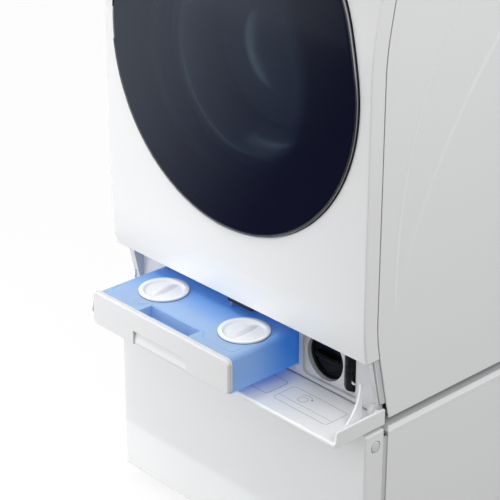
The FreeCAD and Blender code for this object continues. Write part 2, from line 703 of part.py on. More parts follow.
def start_button():
    inside = FACE_HALF - FACE_SHEET
    head = rod_x(BUTTON_Y, BUTTON_Z, BUTTON_RADIUS, inside - BUTTON_FIT, FACE_HALF + BUTTON_PROUD)
    flange = rod_x(BUTTON_Y, BUTTON_Z, BUTTON_RADIUS + BUTTON_FLANGE, inside - BUTTON_FIT - BUTTON_BASE,
                   inside - BUTTON_FIT)
    crown = edges_where(head, lambda p: near(p.x, FACE_HALF + BUTTON_PROUD))
    return union(head.makeFillet(BUTTON_PROUD * 0.8, crown), flange)


# Washer case

def washer_feet():
    feet = [rod_z(x, y, STACK_FOOT, PEDESTAL_TOP, WASHER_BOTTOM) for x, y in foot_places()]
    return Part.makeCompound(feet)


def washer_base():
    return box(-SIDE_IN, SIDE_IN, CASE_FRONT, REAR_IN, WASHER_BOTTOM, BASE_TOP)


def bowed(start, end, bow):
    """Point beside the middle of a chord on a side panel, towards the front and top."""
    along = end - start
    across = V(0, -along.z, along.y).normalize()
    return start + along * 0.5 + across * bow


def swept_emboss():
    """Shallow recess with sloping edges that sweeps up and back over a side panel."""
    top_z = PANEL_TOP - EMBOSS_HEAD
    rear_y = REAR_Y - EMBOSS_MARGIN
    tip_z = PANEL_BOTTOM + EMBOSS_TIP_RISE
    tip = V(HALF, EMBOSS_TIP_Y, tip_z)
    head = V(HALF, (EMBOSS_TIP_Y + rear_y) / 2, top_z)
    corner = V(HALF, rear_y, top_z)
    heel = V(HALF, rear_y, top_z - EMBOSS_HEAD)
    upper = Part.Arc(tip, bowed(tip, head, UPPER_BOW), head).toShape()
    lower = Part.Arc(heel, bowed(tip, heel, LOWER_BOW), tip).toShape()
    outline = Part.Wire([upper, Part.makeLine(head, corner), Part.makeLine(corner, heel), lower])
    inner = outline.makeOffset2D(-EMBOSS_SLOPE, join=2)
    inner.translate(V(-EMBOSS, 0, 0))
    return Part.makeLoft([outline, inner], True, True)


def washer_side_right():
    shift = RETURN_DEPTH + SEAM
    edges = front_curve(shift)
    first = edges[0].Vertexes[0].Point
    last = edges[-1].Vertexes[1].Point
    outline = [last, V(0, REAR_Y, PANEL_TOP), V(0, REAR_Y, WASHER_BOTTOM),
               V(0, CASE_FRONT, WASHER_BOTTOM), first]
    closing = [Part.makeLine(a, b) for a, b in zip(outline, outline[1:])]
    face = Part.Face(Part.Wire(Part.__sortEdges__(edges + closing)))
    face.translate(V(SIDE_IN, 0, 0))
    return face.extrude(V(SIDE_SHEET, 0, 0)).cut(swept_emboss())


def washer_rear_panel():
    panel = box(-SIDE_IN, SIDE_IN, REAR_IN, REAR_Y, WASHER_BOTTOM, PANEL_TOP)
    for x in INLET_X:
        panel = panel.cut(rod_y(x, INLET_Z, INLET_COLLAR + PANEL_HOLE_FIT, REAR_IN, REAR_Y))
    drain_z = WASHER_BOTTOM + DRAIN_RISE
    panel = panel.cut(rod_y(DRAIN_X, drain_z, DRAIN_PIPE + PANEL_HOLE_FIT, REAR_IN, REAR_Y))
    return panel


def washer_top_panel():
    start = front_curve(0)[-1].Vertexes[1].Point.y
    top = box(-HALF, HALF, start, REAR_Y, PANEL_TOP, WASHER_TOP)
    rounded = edges_where(top, lambda p: near(p.z, WASHER_TOP))
    top = top.makeFillet(TOP_EDGE, rounded)
    inset = TOP_EDGE + PANEL_SHEET
    return top.cut(box(inset - HALF, HALF - inset, start + inset, REAR_Y - inset, PANEL_TOP,
                       WASHER_TOP - PANEL_SHEET))


def front_panel():
    outside = front_band(0, RETURN_DEPTH, HALF)
    corners = []
    for edge in outside.Edges:
        middle = edge.valueAt((edge.FirstParameter + edge.LastParameter) / 2)
        seen_from_side = Part.Vertex(V(0, middle.y, middle.z))
        on_front = any(near(curve.distToShape(seen_from_side)[0], 0) for curve in front_curve(0))
        if near(abs(middle.x), HALF) and on_front:
            corners.append(edge)
    outside = outside.makeFillet(PANEL_EDGE, corners)
    inside = front_band(PANEL_SHEET, RETURN_DEPTH + PANEL_SHEET, HALF - PANEL_SHEET)
    inside = inside.cut(box(-HALF, HALF, -FAR, FAR, 0, PANEL_BOTTOM + PANEL_SHEET))
    panel = outside.cut(inside)
    return panel.cut(rod_y(0, DOOR_Z, WELL_RADIUS, -FAR / 10, FAR / 10))


def door_well():
    wall = ring_y(0, DOOR_Z, WELL_RADIUS, WELL_OUTER, -FAR / 10, WELL_FLOOR)
    wall = behind_front(wall, PANEL_SHEET)
    floor = ring_y(0, DOOR_Z, MOUTH_RADIUS, WELL_OUTER, WELL_FLOOR - WELL_SHEET, WELL_FLOOR)
    slot = latch_room(WELL_FLOOR - WELL_SHEET, WELL_FLOOR)
    return union(wall, floor).cut(slot)


def latch_room(y0, y1):
    """Space that the latch hook needs between two depths."""
    half = LATCH_HALF + LATCH_ROOM
    return box(LATCH_X - LATCH_ROOM, LATCH_X + 2 * LATCH_WIDTH + 2 * LATCH_ROOM, y0, y1,
               DOOR_Z - half, DOOR_Z + half)


# Door

def hinge_notch():
    """Room in the door's rim for the hinge."""
    return box(-HALF, NOTCH_X, HINGE_Y - KNUCKLE - RUNNER_FIT, FRAME_BACK, DOOR_Z - NOTCH_HALF,
               DOOR_Z + NOTCH_HALF)


def door_glass():
    return door_disc(0, GLASS_RADIUS, -GLASS_PROUD, -GLASS_SEAT)


def door_bezel():
    return door_disc(GLASS_RADIUS, BEZEL_RADIUS, -BEZEL_PROUD, -GLASS_SEAT).cut(hinge_notch())


def door_frame():
    rim = door_disc(FRAME_INNER, DOOR_RADIUS, -GLASS_SEAT, RIM_DEPTH)
    lip = door_disc(BEZEL_RADIUS, DOOR_RADIUS, -LIP_PROUD, -GLASS_SEAT)
    body = ring_y(0, DOOR_Z, FRAME_INNER, FRAME_OUTER, -FAR / 10, FRAME_BACK)
    body = behind_front(body, -GLASS_SEAT)
    return union(rim, lip, body).cut(hinge_notch())


def door_inner_cover():
    return ring_y(0, DOOR_Z, BOWL_RADIUS + BOWL_FIT, FRAME_INNER, FRAME_BACK - COVER_SHEET, FRAME_BACK)


def door_bowl():
    seat = FRAME_BACK - COVER_SHEET
    end = seat + BOWL_DEPTH
    outline = [(BOWL_RADIUS + BOWL_FLANGE, seat - BOWL_WALL), (BOWL_RADIUS + BOWL_FLANGE, seat),
               (BOWL_RADIUS, seat), (BOWL_END_RADIUS, end), (0, end), (0, end - BOWL_WALL),
               (BOWL_END_RADIUS - BOWL_WALL, end - BOWL_WALL), (BOWL_RADIUS - BOWL_WALL, seat - BOWL_WALL)]
    return turned_y(outline, 0, DOOR_Z)


def door_hinge_leaf():
    knuckle = rod_z(HINGE_X, HINGE_Y, KNUCKLE, DOOR_Z - KNUCKLE_HALF, DOOR_Z + KNUCKLE_HALF)
    leaf = box(HINGE_X, NOTCH_X, HINGE_Y, HINGE_Y + KNUCKLE, DOOR_Z - KNUCKLE_HALF, DOOR_Z + KNUCKLE_HALF)
    bore = rod_z(HINGE_X, HINGE_Y, HINGE_PIN + RUN_FIT, DOOR_Z - KNUCKLE_HALF, DOOR_Z + KNUCKLE_HALF)
    return union(knuckle, leaf).cut(bore)


def door_hinge_bracket():
    low = KNUCKLE_HALF + ARM_GAP
    high = low + ARM_HEIGHT
    floor = WELL_FLOOR - WELL_SHEET
    plate = box(HINGE_X - ARM_WIDTH / 2, NOTCH_X + ARM_WIDTH, floor - PANEL_SHEET, floor, DOOR_Z - high,
                DOOR_Z + high)
    pieces = [plate, rod_z(HINGE_X, HINGE_Y, HINGE_PIN, DOOR_Z - high, DOOR_Z + high)]
    for z in (DOOR_Z - high, DOOR_Z + low):
        pieces.append(box(HINGE_X - ARM_WIDTH / 2, HINGE_X + ARM_WIDTH / 2, HINGE_Y, floor, z,
                          z + ARM_HEIGHT))
        pieces.append(rod_z(HINGE_X, HINGE_Y, ARM_WIDTH / 2, z, z + ARM_HEIGHT))
    return union(*pieces)


def door_latch_hook():
    stem = box(LATCH_X, LATCH_X + LATCH_WIDTH, FRAME_BACK, FRAME_BACK + LATCH_REACH,
               DOOR_Z - LATCH_HALF, DOOR_Z + LATCH_HALF)
    tip_y = FRAME_BACK + LATCH_REACH - LATCH_WIDTH
    tip = box(LATCH_X + LATCH_WIDTH, LATCH_X + 2 * LATCH_WIDTH, tip_y, FRAME_BACK + LATCH_REACH,
              DOOR_Z - LATCH_HALF, DOOR_Z + LATCH_HALF)
    return union(stem, tip)


def door_lock():
    room = latch_room(WELL_FLOOR, WELL_FLOOR + LOCK_DEPTH - LOCK_MARGIN)
    bounds = room.BoundBox
    body = box(bounds.XMin - LOCK_MARGIN, bounds.XMax + LOCK_MARGIN, WELL_FLOOR, WELL_FLOOR + LOCK_DEPTH,
               DOOR_Z - LOCK_HALF, DOOR_Z + LOCK_HALF)
    return body.cut(room)


def door_gasket():
    outer = MOUTH_RADIUS + GASKET_WALL
    wall = ring_y(0, DOOR_Z, MOUTH_RADIUS, outer, WELL_FLOOR, TUB_FRONT)
    lip_y = WELL_FLOOR + 2 * GASKET_WALL
    lip = ring_y(0, DOOR_Z, MOUTH_RADIUS - GASKET_LIP, MOUTH_RADIUS, lip_y, lip_y + GASKET_WALL)
    return union(wall, lip)


# Tub, drum and drive

def tub_ear(y, below):
    """Pair of ears on the tub that a spring or damper ends on."""
    reach = -EAR_REACH if below else EAR_REACH
    z0, z1 = sorted((DOOR_Z, DOOR_Z + reach))
    ear = box(EAR_X - EAR_HALF, EAR_X + EAR_HALF, y - EAR_HALF, y + EAR_HALF, z0, z1)
    ear = ear.cut(rod_y(0, DOOR_Z, TUB_RADIUS - TUB_WALL / 2, y - EAR_HALF, y + EAR_HALF))
    return [ear, mirrored(ear)]


def tub_front():
    wall = ring_y(0, DOOR_Z, TUB_RADIUS - TUB_WALL, TUB_RADIUS, TUB_FRONT, TUB_SPLIT)
    face = ring_y(0, DOOR_Z, MOUTH_RADIUS, TUB_RADIUS, TUB_FRONT, TUB_FRONT + TUB_WALL)
    flange = ring_y(0, DOOR_Z, TUB_RADIUS - TUB_WALL, TUB_RADIUS + TUB_FLANGE, TUB_SPLIT - TUB_WALL,
                    TUB_SPLIT)
    sump = rod_z(SUMP_X, SUMP_Y, SUMP_RADIUS, DOOR_Z - SUMP_DROP, DOOR_Z)
    bore = rod_y(0, DOOR_Z, TUB_RADIUS - TUB_WALL / 2, TUB_FRONT, TUB_SPLIT)
    return union(wall, face, flange, sump.cut(bore))


def tub_rear():
    wall = ring_y(0, DOOR_Z, TUB_RADIUS - TUB_WALL, TUB_RADIUS, TUB_SPLIT, TUB_BACK)
    face = rod_y(0, DOOR_Z, TUB_RADIUS, TUB_BACK - TUB_WALL, TUB_BACK)
    flange = ring_y(0, DOOR_Z, TUB_RADIUS - TUB_WALL, TUB_RADIUS + TUB_FLANGE, TUB_SPLIT,
                    TUB_SPLIT + TUB_WALL)
    hub = rod_y(0, DOOR_Z, HUB_RADIUS, TUB_BACK - TUB_WALL, HUB_END)
    ears = tub_ear(SPRING_Y, False) + tub_ear(DAMPER_Y, True)
    return union(wall, face, flange, hub, *ears).cut(rod_y(0, DOOR_Z, BEARING_RADIUS, 0, HUB_END))


def drum_bearings():
    starts = (TUB_BACK - TUB_WALL, HUB_END - BEARING_WIDTH)
    bearings = [ring_y(0, DOOR_Z, SHAFT_RADIUS + RUN_FIT, BEARING_RADIUS, y, y + BEARING_WIDTH)
                for y in starts]
    return Part.makeCompound(bearings)


def motor_stator():
    end = TUB_BACK + STATOR_DEPTH
    yoke = ring_y(0, DOOR_Z, HUB_RADIUS, (HUB_RADIUS + STATOR_RADIUS) / 2, TUB_BACK, end)
    width = math.pi * STATOR_RADIUS / STATOR_TEETH
    teeth = []
    for index in range(STATOR_TEETH):
        tooth = box(HUB_RADIUS + 4 * TUB_WALL, STATOR_RADIUS, TUB_BACK, end, -width / 2, width / 2)
        tooth.translate(V(0, 0, DOOR_Z))
        tooth.rotate(V(0, 0, DOOR_Z), Y_AXIS, 360 / STATOR_TEETH * index)
        teeth.append(tooth)
    return union(yoke, *teeth)


def motor_rotor():
    inner = STATOR_RADIUS + ROTOR_AIR
    outer = inner + ROTOR_WALL
    disc_y = HUB_END + ROTOR_CLEAR
    can = ring_y(0, DOOR_Z, inner, outer, TUB_BACK + 2 * ROTOR_CLEAR, disc_y)
    disc = ring_y(0, DOOR_Z, SHAFT_RADIUS, outer, disc_y, disc_y + ROTOR_DISC)
    return union(can, disc)


def drum_shell():
    inner = DRUM_RADIUS - DRUM_SHEET
    wall = ring_y(0, DOOR_Z, inner, DRUM_RADIUS, DRUM_FRONT, DRUM_BACK)
    back = rod_y(0, DOOR_Z, DRUM_RADIUS, DRUM_BACK - DRUM_SHEET, DRUM_BACK)
    front = ring_y(0, DOOR_Z, DRUM_MOUTH, DRUM_RADIUS, DRUM_FRONT, DRUM_FRONT + DRUM_SHEET)
    return union(wall, back, front)


def drum_lifters():
    inner = DRUM_RADIUS - DRUM_SHEET
    y0 = DRUM_FRONT + LIFTER_INSET
    y1 = DRUM_BACK - LIFTER_INSET
    low = DOOR_Z - inner
    profile = [(-LIFTER_WIDTH / 2, low), (LIFTER_WIDTH / 2, low), (LIFTER_WIDTH / 5, low + LIFTER_HEIGHT),
               (-LIFTER_WIDTH / 5, low + LIFTER_HEIGHT)]
    corners = [V(x, y0, z) for x, z in profile]
    bar = Part.Face(Part.makePolygon(corners + corners[:1])).extrude(V(0, y1 - y0, 0))
    bar = bar.common(rod_y(0, DOOR_Z, inner, y0, y1))
    lifters = []
    for index in range(LIFTER_COUNT):
        lifter = bar.copy()
        lifter.rotate(V(0, 0, DOOR_Z), Y_AXIS, 360 / LIFTER_COUNT * index)
        lifters.append(lifter)
    return Part.makeCompound(lifters)


def drum_spider():
    end = DRUM_BACK + SPIDER_DEPTH
    hub = rod_y(0, DOOR_Z, SPIDER_HUB, DRUM_BACK, end)
    shaft = rod_y(0, DOOR_Z, SHAFT_RADIUS, DRUM_BACK, HUB_END + ROTOR_CLEAR + ROTOR_DISC + ROTOR_CLEAR)
    arms = []
    for index in range(LIFTER_COUNT):
        arm = box(-SPIDER_ARM / 2, SPIDER_ARM / 2, DRUM_BACK, end, DOOR_Z - DRUM_RADIUS + LIFTER_INSET,
                  DOOR_Z)
        arm.rotate(V(0, 0, DOOR_Z), Y_AXIS, 360 / LIFTER_COUNT * index)
        arms.append(arm)
    return union(hub, shaft, *arms)


def counterweights():
    ring = ring_y(0, DOOR_Z, WEIGHT_INNER, WEIGHT_OUTER, TUB_FRONT - WEIGHT_DEPTH, TUB_FRONT)
    upper = ring.common(box(-HALF, HALF, 0, TUB_FRONT, DOOR_Z + WEIGHT_RISE, PANEL_TOP))
    lower = ring.common(box(-HALF, HALF, 0, TUB_FRONT, WASHER_BOTTOM, DOOR_Z - WEIGHT_RISE))
    return Part.makeCompound([upper, lower])


def spring_beam():
    top = PANEL_TOP - BEAM_DROP
    y0 = SPRING_Y - BEAM_DEPTH / 2
    y1 = SPRING_Y + BEAM_DEPTH / 2
    bar = box(-SIDE_IN, SIDE_IN, y0, y1, top - BEAM_HEIGHT, top)
    wall = 2 * SHEET
    bar = bar.cut(box(-SIDE_IN, SIDE_IN, y0 + wall, y1 - wall, top - BEAM_HEIGHT + wall, top))
    return bar.cut(rod_y(0, DOOR_Z, TUB_RADIUS + BEAM_CLEAR, y0, y1))


def suspension_springs():
    top = PANEL_TOP - BEAM_DROP - BEAM_HEIGHT
    spring = ring_z(EAR_X, SPRING_Y, SPRING_RADIUS - SPRING_WALL, SPRING_RADIUS, DOOR_Z + EAR_REACH, top)
    return Part.makeCompound([spring, mirrored(spring)])


def dampers():
    body = rod_z(EAR_X, DAMPER_Y, DAMPER_RADIUS, BASE_TOP, BASE_TOP + DAMPER_BODY)
    stem = rod_z(EAR_X, DAMPER_Y, DAMPER_ROD, BASE_TOP + DAMPER_BODY, DOOR_Z - EAR_REACH)
    damper = union(body, stem)
    return Part.makeCompound([damper, mirrored(damper)])


# Service bay, filter and drain

def flap_boss(sign):
    """Boss on a jamb that carries the flap's pin."""
    x0, x1 = sorted((sign * (BAY_HALF - JAMB_WIDTH), sign * BAY_HALF))
    boss = rod_x(FLAP_AXIS_Y, FLAP_AXIS_Z, FLAP_BOSS, x0, x1)
    web = box(x0, x1, FLAP_AXIS_Y, BAY_WALL_Y, FLAP_AXIS_Z - FLAP_BOSS, FLAP_AXIS_Z + FLAP_BOSS)
    return union(boss, web)


def service_bay():
    wall_back = BAY_WALL_Y + BAY_SHEET
    recess_low = WASHER_BOTTOM + RECESS_FLOOR
    recess_high = PANEL_BOTTOM - RECESS_HEAD
    wall = box(-BAY_HALF, BAY_HALF, BAY_WALL_Y, wall_back, BASE_TOP, BAY_TOP)
    recess = box(RECESS_LEFT - BAY_SHEET, RECESS_RIGHT + BAY_SHEET, BAY_WALL_Y, PLATE_Y + BAY_SHEET,
                 recess_low - BAY_SHEET, recess_high + BAY_SHEET)
    floor = box(-BAY_HALF, BAY_HALF, BAY_WALL_Y, BAY_END, BASE_TOP, BASE_TOP + BAY_SHEET)
    roof = box(-BAY_HALF, BAY_HALF, BAY_WALL_Y, BAY_END, BAY_TOP - BAY_SHEET, BAY_TOP)
    jamb_outline = [(wall_back, BASE_TOP), (wall_back, BAY_TOP), (JAMB_TOP_Y, BAY_TOP),
                    (JAMB_FOOT_Y, BASE_TOP)]
    jamb = prism_x(jamb_outline, BAY_HALF - JAMB_WIDTH, BAY_HALF)
    rails = []
    for x in (TANK_LEFT + RAIL_WIDTH, TANK_RIGHT - 2 * RAIL_WIDTH):
        rails.append(box(x, x + RAIL_WIDTH, wall_back, BAY_END, BASE_TOP + BAY_SHEET, TANK_Z - RUNNER_FIT))
    bay = union(wall, recess, floor, roof, jamb, mirrored(jamb), flap_boss(1), flap_boss(-1), *rails)
    hollow = box(RECESS_LEFT, RECESS_RIGHT, BAY_WALL_Y, PLATE_Y, recess_low, recess_high)
    uprights = edges_where(hollow, lambda p: near(p.y, (BAY_WALL_Y + PLATE_Y) / 2))
    bay = bay.cut(hollow.makeFillet(RECESS_CORNER, uprights))
    bay = bay.fuse(rod_y(FILTER_X, FILTER_Z, FILTER_HOLE + COLLAR_WALL, PLATE_Y, COLLAR_END))
    bay = bay.cut(box(TANK_LEFT - BAY_FIT, TANK_RIGHT + BAY_FIT, BAY_WALL_Y, wall_back, TANK_Z - RUNNER_FIT,
                      TANK_TOP + CAP_HEADROOM))
    bay = bay.cut(rod_y(FILTER_X, FILTER_Z, FILTER_HOLE, PLATE_Y, FILTER_SEAT_Y))
    bay = bay.cut(rod_y(FILTER_X, FILTER_Z, FILTER_HOLE - FILTER_LEDGE, PLATE_Y, COLLAR_END))
    slot_z = WASHER_BOTTOM + SLOT_BOTTOM
    slot = box(SLOT_LEFT, SLOT_RIGHT, PLATE_Y, PLATE_Y + BAY_SHEET, slot_z, recess_high)
    feet = edges_where(slot, lambda p: near(p.z, slot_z) and near(p.y, PLATE_Y + BAY_SHEET / 2))
    bay = bay.cut(slot.makeFillet(SLOT_CORNER, feet))
    bay = bay.cut(rod_z(SUMP_X, SUMP_Y, SUMP_RADIUS + BAY_FIT, BAY_TOP - BAY_SHEET, BAY_TOP))
    return bay.cut(rod_x(FLAP_AXIS_Y, FLAP_AXIS_Z, FLAP_PIN + RUN_FIT, -BAY_HALF, BAY_HALF))


def drain_filter_cap():
    radius = FILTER_HOLE - FILTER_FIT
    flange_back = FILTER_FACE_Y + FILTER_FLANGE
    flange = rod_y(FILTER_X, FILTER_Z, radius, FILTER_FACE_Y, flange_back)
    outer = FILTER_HOLE - FILTER_LEDGE - BASKET_FIT
    basket = ring_y(FILTER_X, FILTER_Z, outer - BASKET_WALL, outer, flange_back, COLLAR_END + BASKET_LENGTH)
    thumb = radius * 0.7
    grip = box(FILTER_X - thumb, FILTER_X + thumb, FILTER_FACE_Y - FILTER_GRIP, FILTER_FACE_Y,
               FILTER_Z - FILTER_GRIP / 2, FILTER_Z + FILTER_GRIP / 2)
    return union(flange, basket, grip)


def drain_pump():
    start = COLLAR_END
    end = COLLAR_END + BASKET_LENGTH + 8 * PUMP_WALL
    outer = FILTER_HOLE + PUMP_WALL
    drain_z = WASHER_BOTTOM + DRAIN_RISE
    body = rod_y(FILTER_X, FILTER_Z, outer, start, end)
    motor = rod_y(FILTER_X, FILTER_Z, PUMP_MOTOR, end, end + PUMP_MOTOR_LENGTH)
    outlet = union(rod_y(DRAIN_X, drain_z, DRAIN_PIPE, end - 4 * PUMP_WALL, REAR_Y),
                   rod_y(DRAIN_X, drain_z, DRAIN_RADIUS, REAR_Y, REAR_REACH))
    stub = rod_z(SUMP_X, SUMP_Y, SUMP_RADIUS, FILTER_Z, BAY_TOP + SUMP_STUB)
    bore = rod_y(FILTER_X, FILTER_Z, FILTER_HOLE, start, end - PUMP_WALL)
    return union(body, motor, outlet, stub).cut(bore)


def sump_hose():
    low = BAY_TOP + SUMP_STUB
    return ring_z(SUMP_X, SUMP_Y, SUMP_RADIUS - PUMP_WALL, SUMP_RADIUS, low, DOOR_Z - SUMP_DROP)


def emergency_drain_hose():
    x = (SLOT_LEFT + SLOT_RIGHT) / 2
    y = PLATE_Y + BAY_SHEET + HOSE_PLUG
    branch_y = COLLAR_END + 2 * HOSE_RADIUS
    low = WASHER_BOTTOM + SLOT_BOTTOM + RUNNER_FIT
    tube = rod_z(x, y, HOSE_RADIUS, low, BAY_TOP - BAY_SHEET)
    plug = rod_z(x, y, HOSE_PLUG, low, low + HOSE_PLUG_LENGTH)
    branch = rod_x(branch_y, FILTER_Z, HOSE_RADIUS, FILTER_X + FILTER_HOLE + PUMP_WALL, x)
    knee = rod_y(x, FILTER_Z, HOSE_RADIUS, y, branch_y + HOSE_RADIUS)
    return union(tube, plug, knee, branch)


# Detergent drawer

def detergent_tank():
    tank = box(TANK_LEFT, TANK_RIGHT, TANK_FRONT, TANK_END, TANK_Z, TANK_TOP)
    sides = edges_where(tank, lambda p: near(p.z, TANK_TOP) and not near(p.y, TANK_FRONT))
    uprights = edges_where(tank, lambda p: near(p.y, TANK_END) and near(p.z, (TANK_Z + TANK_TOP) / 2))
    tank = tank.makeFillet(TANK_EDGE, sides + uprights)
    pocket_end = TANK_FRONT + POCKET_LENGTH
    shelf = TANK_TOP - POCKET_DEPTH - TANK_WALL
    inside_z = TANK_Z + TANK_WALL
    divider = TANK_WALL / 2
    left = (TANK_LEFT + TANK_EDGE, DIVIDER_X - divider)
    right = (DIVIDER_X + divider, TANK_RIGHT - TANK_EDGE)
    for x0, x1 in (left, right):
        main = box(x0, x1, pocket_end + TANK_WALL, TANK_END - TANK_EDGE, inside_z, TANK_TOP - TANK_WALL)
        under = box(x0, x1, TANK_FRONT + TANK_WALL, pocket_end + TANK_WALL, inside_z, shelf)
        tank = tank.cut(union(main, under))
    tank = tank.cut(box(POCKET_LEFT, POCKET_RIGHT, TANK_FRONT, pocket_end, TANK_TOP - POCKET_DEPTH, TANK_TOP))
    for x in CAP_X:
        tank = tank.cut(rod_z(x, CAP_Y, CAP_SKIRT + CAP_FIT, TANK_TOP - TANK_WALL, TANK_TOP))
    return tank


def rounded_plate(inset, y0, y1):
    """Plate of the drawer front with its rounded corners, drawn in by inset."""
    top = TANK_TOP - FRONT_DROP - inset
    low = top - FRONT_HEIGHT + 2 * inset
    half = FRONT_HALF - inset
    plate = box(TANK_X - half, TANK_X + half, y0, y1, low, top)
    corners = edges_where(plate, lambda p: near(p.y, (y0 + y1) / 2))
    return plate.makeFillet(FRONT_CORNER - inset, corners)


def drawer_front():
    top = TANK_TOP - FRONT_DROP
    low = top - FRONT_HEIGHT
    layer_y = DRAWER_FACE_Y + FRONT_LAYER
    outer = rounded_plate(0, DRAWER_FACE_Y, layer_y)
    rim = edges_where(outer, lambda p: near(p.y, DRAWER_FACE_Y))
    outer = outer.makeFillet(FRONT_EDGE, rim)
    core = rounded_plate(FRONT_GROOVE, layer_y, layer_y + FRONT_GROOVE)
    inner = rounded_plate(0, layer_y + FRONT_GROOVE, TANK_FRONT)
    notch = box(NOTCH_LEFT, NOTCH_RIGHT, DRAWER_FACE_Y, DRAWER_FACE_Y + NOTCH_DEPTH, low, low + NOTCH_HEIGHT)
    head = edges_where(notch, lambda p: near(p.z, low + NOTCH_HEIGHT) and not near(p.y, DRAWER_FACE_Y))
    return union(outer, core, inner).cut(notch.makeFillet(FRONT_EDGE, head))


def tank_cap(x):
    seat = TANK_TOP + CAP_FIT
    top = seat + CAP_HEIGHT
    disc = rod_z(x, CAP_Y, CAP_RADIUS, seat, top)
    disc = disc.makeFillet(CAP_HEIGHT / 3, edges_where(disc, lambda p: near(p.z, top)))
    disc = disc.cut(rod_z(x, CAP_Y, CAP_DISH, top - CAP_DISH_DEPTH, top))
    skirt = ring_z(x, CAP_Y, CAP_SKIRT - TANK_WALL, CAP_SKIRT, seat - CAP_SKIRT_DEPTH, seat)
    rib_top = top - CAP_DISH_DEPTH + CAP_RIB
    bow = CAP_DISH * 1.3
    rib = rod_z(x - bow / 2, CAP_Y, bow, top - CAP_DISH_DEPTH, rib_top)
    rib = rib.cut(rod_z(x - bow * 0.8, CAP_Y, bow * 1.12, top - CAP_DISH_DEPTH, rib_top))
    rib = rib.common(rod_z(x, CAP_Y, CAP_DISH, top - CAP_DISH_DEPTH, rib_top))
    return union(disc, skirt, rib)


def tank_sensor_bracket():
    low = TANK_TOP + SENSOR_RISE
    return box(SENSOR_LEFT, SENSOR_RIGHT, BAY_WALL_Y - SENSOR_REACH, BAY_WALL_Y, low, low + SENSOR_HEIGHT)


def tank_sensor_pin():
    return rod_z(SENSOR_PIN_X, SENSOR_PIN_Y, SENSOR_PIN, TANK_TOP + SENSOR_PIN_GAP, TANK_TOP + SENSOR_RISE)


def dosing_pump():
    return box(DOSER_LEFT, DOSER_RIGHT, DOSER_Y, DOSER_Y + DOSER_DEPTH, BASE_TOP, BASE_TOP + DOSER_HEIGHT)


# Service flap

def flap_fin():
    """Curved gusset that stands on the flap beside the jamb."""
    back = FIN_FRONT + FIN_BASE
    tip_z = FLAP_TOP + FIN_HEIGHT
    foot = V(FIN_X, FIN_FRONT, FLAP_TOP)
    tip_front = V(FIN_X, back - FIN_TIP, tip_z)
    bend = V(FIN_X, FIN_FRONT + FIN_BASE * 0.55, FLAP_TOP + FIN_HEIGHT * 0.35)
    edges = [Part.Arc(foot, bend, tip_front).toShape(),
             Part.makeLine(tip_front, V(FIN_X, back, tip_z)),
             Part.makeLine(V(FIN_X, back, tip_z), V(FIN_X, back, FLAP_TOP)),
             Part.makeLine(V(FIN_X, back, FLAP_TOP), foot)]
    return Part.Face(Part.Wire(edges)).extrude(V(-FIN_SHEET, 0, 0))


def service_flap():
    floor = box(-HALF, HALF, FLAP_FRONT, FLAP_BACK, FLAP_BOTTOM, FLAP_TOP)
    floor = floor.makeFillet(FLAP_EDGE, edges_where(floor, lambda p: near(p.y, FLAP_FRONT) and near(p.x, 0)))
    top = FLAP_BOTTOM + CHEEK_HEIGHT
    front = FLAP_FRONT + FLAP_EDGE
    outline = [(front, FLAP_TOP), (front + CHEEK_SLANT, top), (FLAP_BACK, top), (FLAP_BACK, FLAP_TOP)]
    cheek = prism_x(outline, HALF - CHEEK_SHEET, HALF)
    cheek = cheek.makeFillet(CHEEK_ROUND, edges_where(cheek, lambda p: near(p.z, top)))
    pin = rod_x(FLAP_AXIS_Y, FLAP_AXIS_Z, FLAP_PIN, BAY_HALF - JAMB_WIDTH + FLAP_PIN_PLAY, HALF - CHEEK_SHEET)
    fin = flap_fin()
    return union(floor, cheek, mirrored(cheek), pin, mirrored(pin), fin, mirrored(fin))


# Valve and electrics

def inlet_valve():
    middle = sum(INLET_X) / len(INLET_X)
    half = (INLET_X[-1] - INLET_X[0]) / 2 + INLET_HALF
    body = box(middle - half, middle + half, REAR_IN - INLET_BODY, REAR_IN, INLET_Z - INLET_HALF,
               INLET_Z + INLET_HALF)
    collars = [rod_y(x, INLET_Z, INLET_COLLAR, REAR_IN, REAR_Y) for x in INLET_X]
    stubs = [rod_y(x, INLET_Z, INLET_RADIUS, REAR_Y, REAR_Y + INLET_STUB) for x in INLET_X]
    return union(body, *collars, *stubs)


def control_box():
    return box(-SIDE_IN, CONTROL_WIDTH - SIDE_IN, REAR_IN - CONTROL_DEPTH, REAR_IN,
               PANEL_TOP - CONTROL_HEIGHT, PANEL_TOP)


def mains_gland():
    flange = rod_y(GLAND_X, GLAND_Z, GLAND_FLANGE, REAR_Y, REAR_Y + GLAND_LENGTH / 4)
    nose = rod_y(GLAND_X, GLAND_Z, GLAND_RADIUS, REAR_Y, REAR_Y + GLAND_LENGTH)
    return union(flange, nose)


def save(name, shape):
    placed = shape.copy()
    placed.translate(V(0, -ORIGIN_Y, 0))
    assert placed.isValid(), name
    placed.exportStep("parts/" + name + ".step")


PIECES = (pedestal_feet, pedestal_base, pedestal_side_right, pedestal_rear_panel, pedestal_top_plate,
          pedestal_outer_rails, pedestal_drawer_front, pedestal_drawer_tray, mini_tub, mini_motor, mini_drum,
          mini_tub_lid, start_button, washer_feet, washer_base, washer_side_right, washer_rear_panel,
          washer_top_panel, front_panel, door_well, door_glass, door_bezel, door_frame, door_inner_cover,
          door_bowl, door_hinge_leaf, door_hinge_bracket, door_latch_hook, door_lock, door_gasket, tub_front,
          tub_rear, drum_bearings, motor_stator, motor_rotor, drum_shell, drum_lifters, drum_spider,
          counterweights, spring_beam, suspension_springs, dampers, service_bay, drain_filter_cap, drain_pump,
          sump_hose, emergency_drain_hose, detergent_tank, drawer_front, tank_sensor_bracket, tank_sensor_pin,
          dosing_pump, service_flap, inlet_valve, control_box, mains_gland)

